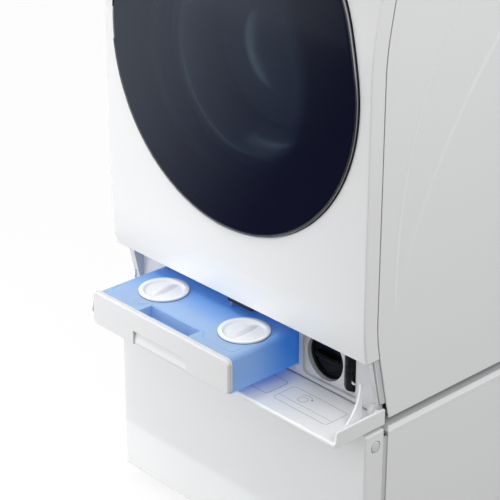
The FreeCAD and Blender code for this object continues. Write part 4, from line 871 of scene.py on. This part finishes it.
@dataclass
class DetergentDrawer:
    """Twist caps of the two tank chambers, dark rings of painted shade round their necks, the fine bead and
    the scoop of the grip notch.

    The scoop's points are depths behind the drawer front's face and heights above its foot.
    """

    top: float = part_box("detergent_tank")[1].z
    outline: Outline = (
        (TIP, -0.0034), (0.0335, -0.0034), (0.0350, -0.0116), (0.0378, -0.0116), (0.0379, 0.0003),
        (0.0422, 0.0003), (0.0428, 0.0008), (0.0430, 0.0016), (0.0429, 0.0028), (0.0424, 0.0038),
        (0.0415, 0.0043), (0.0364, 0.0043), (0.0352, 0.0040), (0.0344, 0.0030), (0.0336, 0.0010),
        (0.0326, -0.0004), (0.0300, -0.0014), (0.0240, -0.0018), (TIP, -0.0018))
    # ring just outside each cap, in the dark blue of painted shade for the gap at its neck
    seat: Outline = ((0.0410, -0.0003), (0.0410, 0.0001), (0.0436, 0.0002), (0.0441, -0.0003))
    blade_half: float = 0.0315
    blade_steps: int = 32
    blade_width: Pair = (0.0006, 0.0105)
    blade_swell: Pair = (0.06, 0.94)
    blade_taper: float = 0.8
    blade_rise: Pair = (0.0010, 0.0080)
    blade_back: float = 1.3
    blade_bluntness: float = 0.7
    blade_sink: float = 0.0020
    blade_aside: float = 0.0065
    blade_bow: float = 0.0040
    blade_section: Outline = ((0.0, 0.0), (0.22, 0.40), (0.44, 0.80), (0.58, 0.97), (0.68, 1.0), (0.78, 0.88),
                              (0.90, 0.40), (1.0, 0.0))
    bead: Outline = (
        (-0.2080, -0.2550), (-0.2080, -0.3340), (-0.2068, -0.3382), (-0.2035, -0.3405), (-0.1360, -0.3405),
        (-0.1305, -0.3385), (-0.1275, -0.3340), (-0.1245, -0.3285), (-0.1200, -0.3265), (0.0120, -0.3265),
        (0.0165, -0.3285), (0.0195, -0.3340), (0.0225, -0.3385), (0.0280, -0.3405), (0.0890, -0.3405),
        (0.0925, -0.3390), (0.0940, -0.3355), (0.0940, -0.3060))
    bead_radius: float = 0.0006
    notch: Pair = (-0.1200, 0.0120)
    notch_height: float = 0.0250
    scoop: Outline = (
        (0.0070, 0.0235), (0.0062, 0.0220), (0.0052, 0.0180), (0.0039, 0.0125), (0.0028, 0.0075),
        (0.0023, 0.0045), (0.0022, 0.0028), (0.0024, 0.0012), (0.0031, 0.0004), (0.0070, 0.0004))
    corner: float = 0.0100
    corner_steps: int = 12
    corner_depth: Pair = (0.00002, 0.00660)
    overlap: float = 0.00005

    def grip(self) -> None:
        """Builds the scoop in the front's grip notch and the notch's rounded right-hand end."""
        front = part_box("drawer_front")[0]
        mesh = Mesh().loft([[(x, front.y + depth, front.z + height) for depth, height in self.scoop]
                            for x in self.notch])
        end, head = self.notch[1], front.z + self.notch_height
        right, top = end + self.overlap, head + self.overlap
        inner_x, inner_z = end - self.corner, head - self.corner
        outline = [(right, inner_z), (right, top), (inner_x, top)]
        for turn in even_steps(self.corner_steps, math.pi / 2, 0.0):
            outline.append((inner_x + self.corner * math.cos(turn), inner_z + self.corner * math.sin(turn)))
        mesh.loft([[(x, front.y + depth, z) for x, z in outline] for depth in self.corner_depth])
        mesh.piece("grip_scoop", DRAWER_WHITE_PAINTED_SHADE, "detergent_drawer")

    def blade(self, mesh: Mesh, x: float, y: float) -> None:
        """Adds the grip blade, which tapers to the front and rises to the back.

        Args:
            mesh: mesh of the cap.
            x: centre of the cap.
            y: centre of the cap.
        """
        (thin, broad), (least, most), (start, end) = self.blade_width, self.blade_rise, self.blade_swell
        low = self.top - self.blade_sink
        rings = []
        for t in even_steps(self.blade_steps):
            along = y + self.blade_half * (2 * t - 1)
            width = thin + broad * math.sin(math.pi * (start + (end - start) * t ** self.blade_taper))
            rise = least + (most - least) * math.sin(math.pi * t ** self.blade_back) ** self.blade_bluntness
            left = x - self.blade_aside + self.blade_bow * (2 * t - 1) ** 2
            rings.append([(left + width * u, along, low + rise * v) for u, v in self.blade_section])
        mesh.loft(rings)

    def build(self) -> None:
        """Builds both caps, the rings of painted shade round them, the bead and the grip."""
        self.grip()
        gap_shade_rings = Mesh()
        for side in ("left", "right"):
            x, y, _ = middle("tank_cap_" + side)
            centre = (x, y, self.top)
            gap_shade_rings.turned(self.seat, centre, Axis.Z, closed=True)
            mesh = Mesh().turned(self.outline, centre, Axis.Z)
            self.blade(mesh, x, y)
            mesh.piece("twist_cap_" + side, CAP_WHITE, side + "_cap", ["tank_cap_" + side])
        gap_shade_rings.piece("cap_gap_painted_shade", CAP_GAP_PAINTED_SHADE, "detergent_drawer")
        path = [Vector((x, y, self.top)) for x, y in self.bead]
        Mesh().tube(path, self.bead_radius).piece("tank_bead", BEAD_PAINTED_SHADE_BLUE, "detergent_drawer")


@dataclass
class ServiceBay:
    """Drain filter cap, drain hose and its clip, seals beside the jambs and label fields on the flap."""

    filter: Point = (0.163, -0.252, 0.416)
    outline: Outline = (
        (TIP, 0.0625), (0.0335, 0.0625), (0.0335, 0.1275), (0.0355, 0.1275), (0.0355, 0.0612),
        (0.0394, 0.0612), (0.0394, 0.0578), (0.0389, 0.0572), (0.0366, 0.0571), (0.0358, 0.0578),
        (0.0352, 0.0600), (0.0300, 0.0604), (0.0286, 0.0598), (0.0278, 0.0590), (0.0262, 0.0588),
        (0.0120, 0.0592), (TIP, 0.0592))
    grip_half: float = 0.0265
    grip_steps: int = 24
    grip_height: float = 0.0048
    grip_waist: float = 0.55
    grip_end: float = 0.02
    grip_y: Pair = (0.0600, 0.0475)
    grip_section: Outline = ((-1.0, 0.0), (-0.86, 0.7), (-0.62, 0.93), (-0.3, 1.0), (0.3, 1.0), (0.62, 0.93),
                             (0.86, 0.7), (1.0, 0.0))
    hose_place: Pair = (0.2185, -0.1970)
    hose_outline: Outline = (
        (TIP, 0.3805), (0.0085, 0.3805), (0.0100, 0.3815), (0.0106, 0.3835), (0.0106, 0.4120),
        (0.0103, 0.4140), (0.0096, 0.4146), (0.0096, 0.4172), (0.0106, 0.4180), (0.0106, 0.4210),
        (0.0094, 0.4224), (0.0090, 0.4250), (0.0090, 0.4580), (TIP, 0.4580))
    hose_sides: int = 48
    knee: Outline = ((0.0, 0.0), (0.0, 0.014), (-0.002, 0.022), (-0.009, 0.026))
    knee_radius: float = 0.0072
    clip: Point = (0.2300, -0.2050, 0.3990)
    clip_stations: tuple[float, ...] = (-1.0, -0.9, -0.5, 0.0, 0.5, 0.9, 1.0)
    clip_half: float = 0.0042
    clip_thickness: float = 0.0016
    clip_end: float = 0.1
    clip_bow: float = 0.0016
    clip_drop: float = 0.0012
    clip_section: Outline = ((-1.0, -0.6), (-0.6, -1.0), (0.6, -1.0), (1.0, -0.6), (1.0, 0.6), (0.6, 1.0),
                             (-0.6, 1.0), (-1.0, 0.6))
    seal: Pair = (0.2924, 0.2972)
    seal_rings: tuple[Point, ...] = ((0.3920, -0.2123, -0.2040), (0.4740, -0.2298, -0.2215))
    fields: tuple[Bounds, ...] = ((0.131, 0.251, -0.2875, -0.2375), (-0.012, 0.118, -0.2875, -0.2365))
    field_z: Pair = (0.3649, 0.36512)
    field_corner: float = 0.007
    field_steps: int = 8
    line: float = 0.0006
    rule: float = 0.0145
    rule_half: float = 0.00024
    sign: Pair = (0.1710, -0.2585)
    sign_ring: float = 0.0080
    sign_arrow: float = 0.0150
    sign_steps: int = 40
    arrow_span: Pair = (math.radians(40.0), math.radians(140.0))
    arrow_half: float = 0.0022
    arrow_head: float = 0.26

    def filter_cap(self) -> None:
        """Builds the filter cap: flange, dished face, basket and grip."""
        mesh = Mesh().turned(self.outline, self.filter, Axis.Y)
        x, y, z = self.filter
        deep, proud = self.grip_y
        rings = []
        for t in even_steps(self.grip_steps, -1.0, 1.0):
            swell = math.sqrt(max(1 - t ** 4, self.grip_end))
            half = self.grip_height * (self.grip_waist + (1 - self.grip_waist) * swell)
            rise = (deep - proud) * swell
            rings.append([(x + t * self.grip_half, y + deep - rise * v, z + half * u)
                          for u, v in self.grip_section])
        mesh.loft(rings).piece("filter_cap_turned", FILTER_BLACK, "filter_cap", ["drain_filter_cap"])

    def hose(self) -> None:
        """Builds the emergency drain hose with its plug."""
        x, y = self.hose_place
        mesh = Mesh().turned(self.hose_outline, (x, y, 0.0), Axis.Z, self.hose_sides)
        knee = [Vector((x + aside, y + back, self.filter[2])) for aside, back in self.knee]
        mesh.tube(knee, self.knee_radius).piece(
            "drain_hose_tube", HOSE_BLACK, "cabinet", ["emergency_drain_hose"])

    def hose_clip(self) -> None:
        """Builds the bowed clip beside the hose."""
        x, y, z = self.clip
        rings = []
        for t in self.clip_stations:
            half = self.clip_thickness * math.sqrt(max(1 - t ** 4, self.clip_end))
            front = y - self.clip_bow * (1 - t * t)
            rings.append([(x + self.clip_half * t, front + half * u, z + half * v - self.clip_drop * t)
                          for u, v in self.clip_section])
        Mesh().loft(rings).piece("hose_clip", FINISHES[Slot.WHITE], "cabinet")

    def jamb_seals(self) -> None:
        """Builds the seals in the slits beside both jambs."""
        mesh = Mesh()
        for sign in (-1, 1):
            near, far = (sign * x for x in self.seal)
            mesh.loft([[(near, front, z), (near, back, z), (far, back, z), (far, front, z)]
                       for z, front, back in self.seal_rings])
        mesh.piece("jamb_seals", FINISHES[Slot.BAY], "cabinet")

    def stroke(self, centre: Pair, way: Pair, near: float, far: float) -> list[Point]:
        """Section of a printed line on the flap, from near to far along a way from the centre."""
        low, top = self.field_z
        return [(centre[0] + reach * way[0], centre[1] + reach * way[1], z)
                for reach, z in ((near, low), (near, top), (far, top), (far, low))]

    def turning_sign(self, mesh: Mesh) -> None:
        """Adds a plain sign to the larger field: a ring with a turning arrow over it.

        Args:
            mesh: mesh of the outlines.
        """
        half = self.line / 2
        full_turn = (0.0, 2 * math.pi)
        for radius, (start, end) in ((self.sign_ring, full_turn), (self.sign_arrow, self.arrow_span)):
            mesh.loft([self.stroke(self.sign, (math.cos(turn), math.sin(turn)), radius - half, radius + half)
                       for turn in even_steps(self.sign_steps, start, end)])
        x, y = self.sign
        start, arrow = self.arrow_span[0], self.sign_arrow
        head = [(arrow - self.arrow_half, start), (arrow + self.arrow_half, start),
                (arrow, start - self.arrow_head)]
        mesh.loft([[(x + reach * math.cos(turn), y + reach * math.sin(turn), z) for reach, turn in head]
                   for z in self.field_z])

    def labels(self) -> None:
        """Builds the outlines of the blank label fields, a rule and the sign."""
        mesh = Mesh()
        corner = self.field_corner
        for bounds in self.fields:
            mesh.loft([self.stroke(centre, way, corner - self.line, corner)
                       for centre, way in round_corners(bounds, corner, self.field_steps)], closed=True)
        self.turning_sign(mesh)
        x0, x1, y0, _ = self.fields[0]
        mesh.loft([self.stroke((x, y0), (0.0, 1.0), self.rule - self.rule_half, self.rule + self.rule_half)
                   for x in (x0 + self.line, x1 - self.line)])
        mesh.piece("flap_label_fields", INK, "flap")

    def build(self) -> None:
        """Builds the pieces of the bay and of the flap."""
        self.filter_cap()
        self.hose()
        self.hose_clip()
        self.jamb_seals()
        self.labels()


@dataclass
class Pedestal:
    """Button of the drawer's return, and the seals behind the drawer's seams."""

    button: Point = (0.0, -0.2245, 0.321)
    outline: Outline = (
        (TIP, 0.2999), (0.0060, 0.2998), (0.0082, 0.2996), (0.0090, 0.2991), (0.0094, 0.2984),
        (0.0095, 0.2960), (0.0120, 0.2958), (0.0120, 0.2930), (TIP, 0.2930))
    button_sides: int = 64
    seal: Pair = (0.0045, 0.0005)
    overlap: float = 0.006
    clearance: float = 0.0006
    chamfer: float = 0.0008
    end_inset: float = 0.002

    def build(self) -> None:
        """Builds the button and both seals."""
        Mesh().turned(self.outline, self.button, Axis.X, self.button_sides).piece(
            "start_button_face", FINISHES[Slot.BUTTON], "button", ["start_button"])
        side_low, side_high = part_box("pedestal_side_right")
        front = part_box("pedestal_drawer_front")[1].y + self.clearance
        back = side_low.y + self.overlap
        mesh = Mesh()
        for sign in (-1, 1):
            near, far = (sign * (side_low.x - inset) for inset in self.seal)
            cut = sign * self.chamfer
            section = ((near, front + self.chamfer), (near, back), (far, back), (far, front + self.chamfer),
                       (far - cut, front), (near + cut, front))
            mesh.loft([[(x, y, z) for x, y in section]
                       for z in (side_low.z + self.end_inset, side_high.z - self.end_inset)])
        mesh.piece("drawer_seals", FINISHES[Slot.BAY], "pedestal_drawer")


@dataclass
class Works:
    """Wound springs that carry the tub."""

    x: float = 0.158
    y: float = middle("suspension_springs").y
    radius: float = 0.0120
    wire: float = 0.0019
    turns: int = 9
    turn_steps: int = 20

    def build(self) -> None:
        """Builds both springs in the place of their plain tubes."""
        low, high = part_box("suspension_springs")
        bottom, top = low.z + self.wire, high.z - self.wire
        for name, x in (("tub_spring_left", -self.x), ("tub_spring_right", self.x)):
            path = []
            for along in even_steps(self.turns * self.turn_steps):
                turn = 2 * math.pi * self.turns * along
                path.append(Vector((x + self.radius * math.cos(turn), self.y + self.radius * math.sin(turn),
                                    bottom + (top - bottom) * along)))
            stands_for = ["suspension_springs"] if x < 0 else []
            Mesh().tube(path, self.wire).piece(name, FINISHES[Slot.STEEL], "cabinet", stands_for)


@dataclass
class Back:
    """Screws and pressed beads of the two rear panels."""

    rear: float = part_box("washer_rear_panel")[1].y
    screw: Outline = ((TIP, 0.0012), (0.0011, 0.0012), (0.0013, 0.0020), (0.0030, 0.0021), (0.0040, 0.0015),
                      (0.0046, 0.0004), (0.0046, -0.0004), (TIP, -0.0004))
    screw_sides: int = 24
    screws: Outline = (
        (-0.28, 1.18), (0.0, 1.18), (0.28, 1.18), (-0.28, 0.80), (0.28, 0.80), (-0.28, 0.40), (0.0, 0.40),
        (0.28, 0.40), (-0.28, 0.31), (0.0, 0.31), (0.28, 0.31), (-0.28, 0.045), (0.0, 0.045), (0.28, 0.045))
    beads: tuple[Bounds, ...] = ((-0.20, 0.12, 0.60, 1.08), (-0.22, 0.22, 0.09, 0.26))
    bead_half: float = 0.008
    bead_rise: float = 0.0022
    bead_sink: float = 0.0002
    bead_corner: float = 0.05
    bead_steps: tuple[int, int] = (12, 8)

    def bead(self, mesh: Mesh, bounds: Bounds) -> None:
        """Adds a raised bead round a rectangle.

        Args:
            mesh: mesh of the beads.
            bounds: least and most x, least and most z.
        """
        turns, steps = self.bead_steps
        section = []
        for across in even_steps(steps, -1.0, 1.0):
            rise = self.bead_rise * math.cos(across * math.pi / 2) - self.bead_sink
            section.append((self.bead_corner + self.bead_half * across, self.rear + rise))
        mesh.loft([[(x + reach * u, y, z + reach * v) for reach, y in section]
                   for (x, z), (u, v) in round_corners(bounds, self.bead_corner, turns)], closed=True)

    def build(self) -> None:
        """Builds the screws and the beads."""
        screws = Mesh()
        for x, z in self.screws:
            screws.turned(self.screw, (x, self.rear, z), Axis.Y, self.screw_sides)
        screws.piece("rear_screws", FINISHES[Slot.STEEL], "cabinet")
        beads = Mesh()
        for bounds in self.beads:
            self.bead(beads, bounds)
        beads.piece("rear_pressed_beads", FINISHES[Slot.SHEET], "cabinet")


class Dresser:
    """Gives each node of the frame the finish of its slot, or its own."""

    special: Mapping[str, Finish] = {
        "drum_shell": DRUM_STEEL, "mini_drum": SMALL_DRUM_STEEL, "drawer_front": DRAWER_WHITE_PAINTED_SHADE}

    def dress(self) -> None:
        """Dresses the nodes."""
        for part in frame["record"]["subparts"]:
            name = part["node"]
            finish = self.special.get(name, FINISHES[Slot(part["material_slot"])])
            data = frame["nodes"][name].data
            data.materials.clear()
            data.materials.append(material(finish))
            LOG.info("%s gets %s", name, finish.slot.value)


# Studio

def aim(made: bpy.types.Object, place: Point, way: Vector) -> None:
    """Puts a camera or a lamp in its place and turns it.

    Args:
        made: the camera or the lamp.
        place: where it stands.
        way: direction that it faces.
    """
    made.location = place
    made.rotation_mode = "QUATERNION"
    made.rotation_quaternion = way.to_track_quat("-Z", "Y")


@dataclass(frozen=True)
class Lamp:
    """Soft lamp that doesn't mirror in gloss: a square panel, or a soft-edged beam if it has an angle.

    Its size is the panel's side or the radius of the beam's source, its power is in watts and its beam in
    degrees.
    """

    name: str
    place: Point
    target: Point
    size: float
    power: float
    beam: float = 0.0

    def build(self) -> None:
        """Adds the lamp."""
        data = bpy.data.lights.new(self.name, "SPOT" if self.beam else "AREA")
        if self.beam:
            data.shadow_soft_size = self.size
            data.spot_size = math.radians(self.beam)
            data.spot_blend = 1.0
        else:
            data.size = self.size
        data.energy = self.power
        made = add_object(self.name, data)
        aim(made, self.place, Vector(self.target) - Vector(self.place))
        made.visible_glossy = False


@dataclass
class Studio:
    """Camera, pale floor, soft lamps and white surroundings."""

    eye: Point = (1.896, -1.96397, 1.77471)
    azimuth: float = math.radians(47.30)
    elevation: float = math.radians(25.34)
    lens: float = 127.34
    sensor: float = 36.0
    sight: float = 100.0
    fill: Pair = (0.27, 1.08)
    horizon: Pair = (0.05, 0.8)
    floor_tones: Pair = (0.26, 0.90)
    floor_white: float = 0.86
    floor_half: float = 14.0
    card_tones: tuple[Colour, Colour] = ((0.05, 0.05, 0.06), (0.35, 0.35, 0.35))
    card_reach: Pair = (0.2, 2.5)
    card_slant: float = 0.6
    card_far: float = 6.0
    card_near: float = 0.37
    card_right: float = 3.0
    card_left: float = 1.5
    card_top: float = 4.0
    card_lift: float = 0.001
    lamps: tuple[Lamp, ...] = (
        Lamp("key_lamp", (-1.05, -1.25, 0.60), (0.0, -0.2, 0.53), 0.9, 12.0),
        Lamp("drawer_lamp", (-0.45, -0.92, 2.7), (-0.10, -0.30, 0.43), 0.30, 96.0, 17.0),
        Lamp("fill_lamp", (-0.15, -1.9, 0.26), (-0.10, -0.25, 0.33), 0.8, 7.2),
        Lamp("side_lamp", (1.55, -0.05, 1.66), (0.3, -0.08, 1.08), 0.8, 8.0))

    def camera(self) -> None:
        """Makes the camera at the photograph's place and angle."""
        data = bpy.data.cameras.new("camera")
        data.lens = self.lens
        data.sensor_width = self.sensor
        data.clip_end = self.sight
        made = add_object("camera", data)
        away = math.cos(self.elevation)
        way = (-math.sin(self.azimuth) * away, math.cos(self.azimuth) * away, -math.sin(self.elevation))
        aim(made, self.eye, Vector(way))
        bpy.context.scene.camera = made

    def sheet(self, name: str, corners: Sequence[Point], look: bpy.types.Material) -> bpy.types.Object:
        """Adds a flat sheet of the stage.

        Args:
            name: name of the sheet.
            corners: its four corners in turn.
            look: its material.

        Returns:
            The object.
        """
        data = bpy.data.meshes.new(name)
        data.from_pydata(corners, [], [(0, 1, 2, 3)])
        data.materials.append(look)
        made = add_object(name, data)
        return made

    def floor(self) -> None:
        """Lays the pale floor, which is white where it shows and keeps the shadow."""
        look = bpy.data.materials.new("studio_floor")
        graph = Graph(look)
        matt, pale = (graph.plain("BsdfDiffuse", (tone, tone, tone)) for tone in self.floor_tones)
        bright = graph.plain("Emission", WHITE)
        shown = graph.blend(graph.seen(), matt, graph.blend(self.floor_white, pale, bright))
        graph.node("OutputMaterial", {"Surface": shown})
        half = self.floor_half
        corners = [(-half, -half, 0.0), (half, -half, 0.0), (half, half, 0.0), (-half, half, 0.0)]
        self.sheet("studio_floor", corners, look)

    def cards(self) -> None:
        """Puts graded cards round the front, one level and two upright, which only mirror in gloss."""
        look = bpy.data.materials.new("studio_card")
        graph = Graph(look)
        x, y, _ = graph.split(graph.place())
        away = (self.card_slant * y - x).step(*self.card_reach)
        dark, pale = (graph.plain("Emission", tone) for tone in self.card_tones)
        graph.node("OutputMaterial", {"Surface": graph.blend(away, dark, pale)})
        far, near, lift, top = self.card_far, -self.card_near, self.card_lift, self.card_top
        right, left = self.card_right, -self.card_left
        cards = {
            "level_card": [(-far, -far, lift), (far, -far, lift), (far, near, lift), (-far, near, lift)],
            "front_card": [(-far, -far, 0.0), (right, -far, 0.0), (right, -far, top), (-far, -far, top)],
            "left_card": [(-far, left, 0.0), (-far, -far, 0.0), (-far, -far, top), (-far, left, top)]}
        for name, corners in cards.items():
            made = self.sheet(name, corners, look)
            for kind in ("camera", "diffuse", "transmission", "volume_scatter", "shadow"):
                setattr(made, "visible_" + kind, False)

    def world(self) -> None:
        """Makes the surroundings: white where they show, soft as a light."""
        world = bpy.data.worlds.new("studio_world")
        bpy.context.scene.world = world
        graph = Graph(world)
        side, top, white = (graph.plain("Background", WHITE, Strength=strength)
                            for strength in (*self.fill, 1.0))
        up = graph.split(graph.node("TexCoord").outputs["Generated"])[2]
        light = graph.blend(up.step(*self.horizon), side, top)
        graph.node("OutputWorld", {"Surface": graph.blend(graph.seen(), light, white)})

    def build(self) -> None:
        """Sets the studio up."""
        bpy.context.scene.view_settings.view_transform = "Standard"
        self.camera()
        self.floor()
        self.cards()
        self.world()
        for lamp in self.lamps:
            lamp.build()


def main() -> None:
    """Dresses the frame, builds the pieces in order and sets the studio up."""
    logging.basicConfig(level=logging.INFO, format="%(name)s: %(message)s")
    Dresser().dress()
    for part in (Door(Front()), DetergentDrawer(), ServiceBay(), Pedestal(), Works(), Back()):
        part.build()
    Studio().build()


if __name__ == "__main__":
    main()
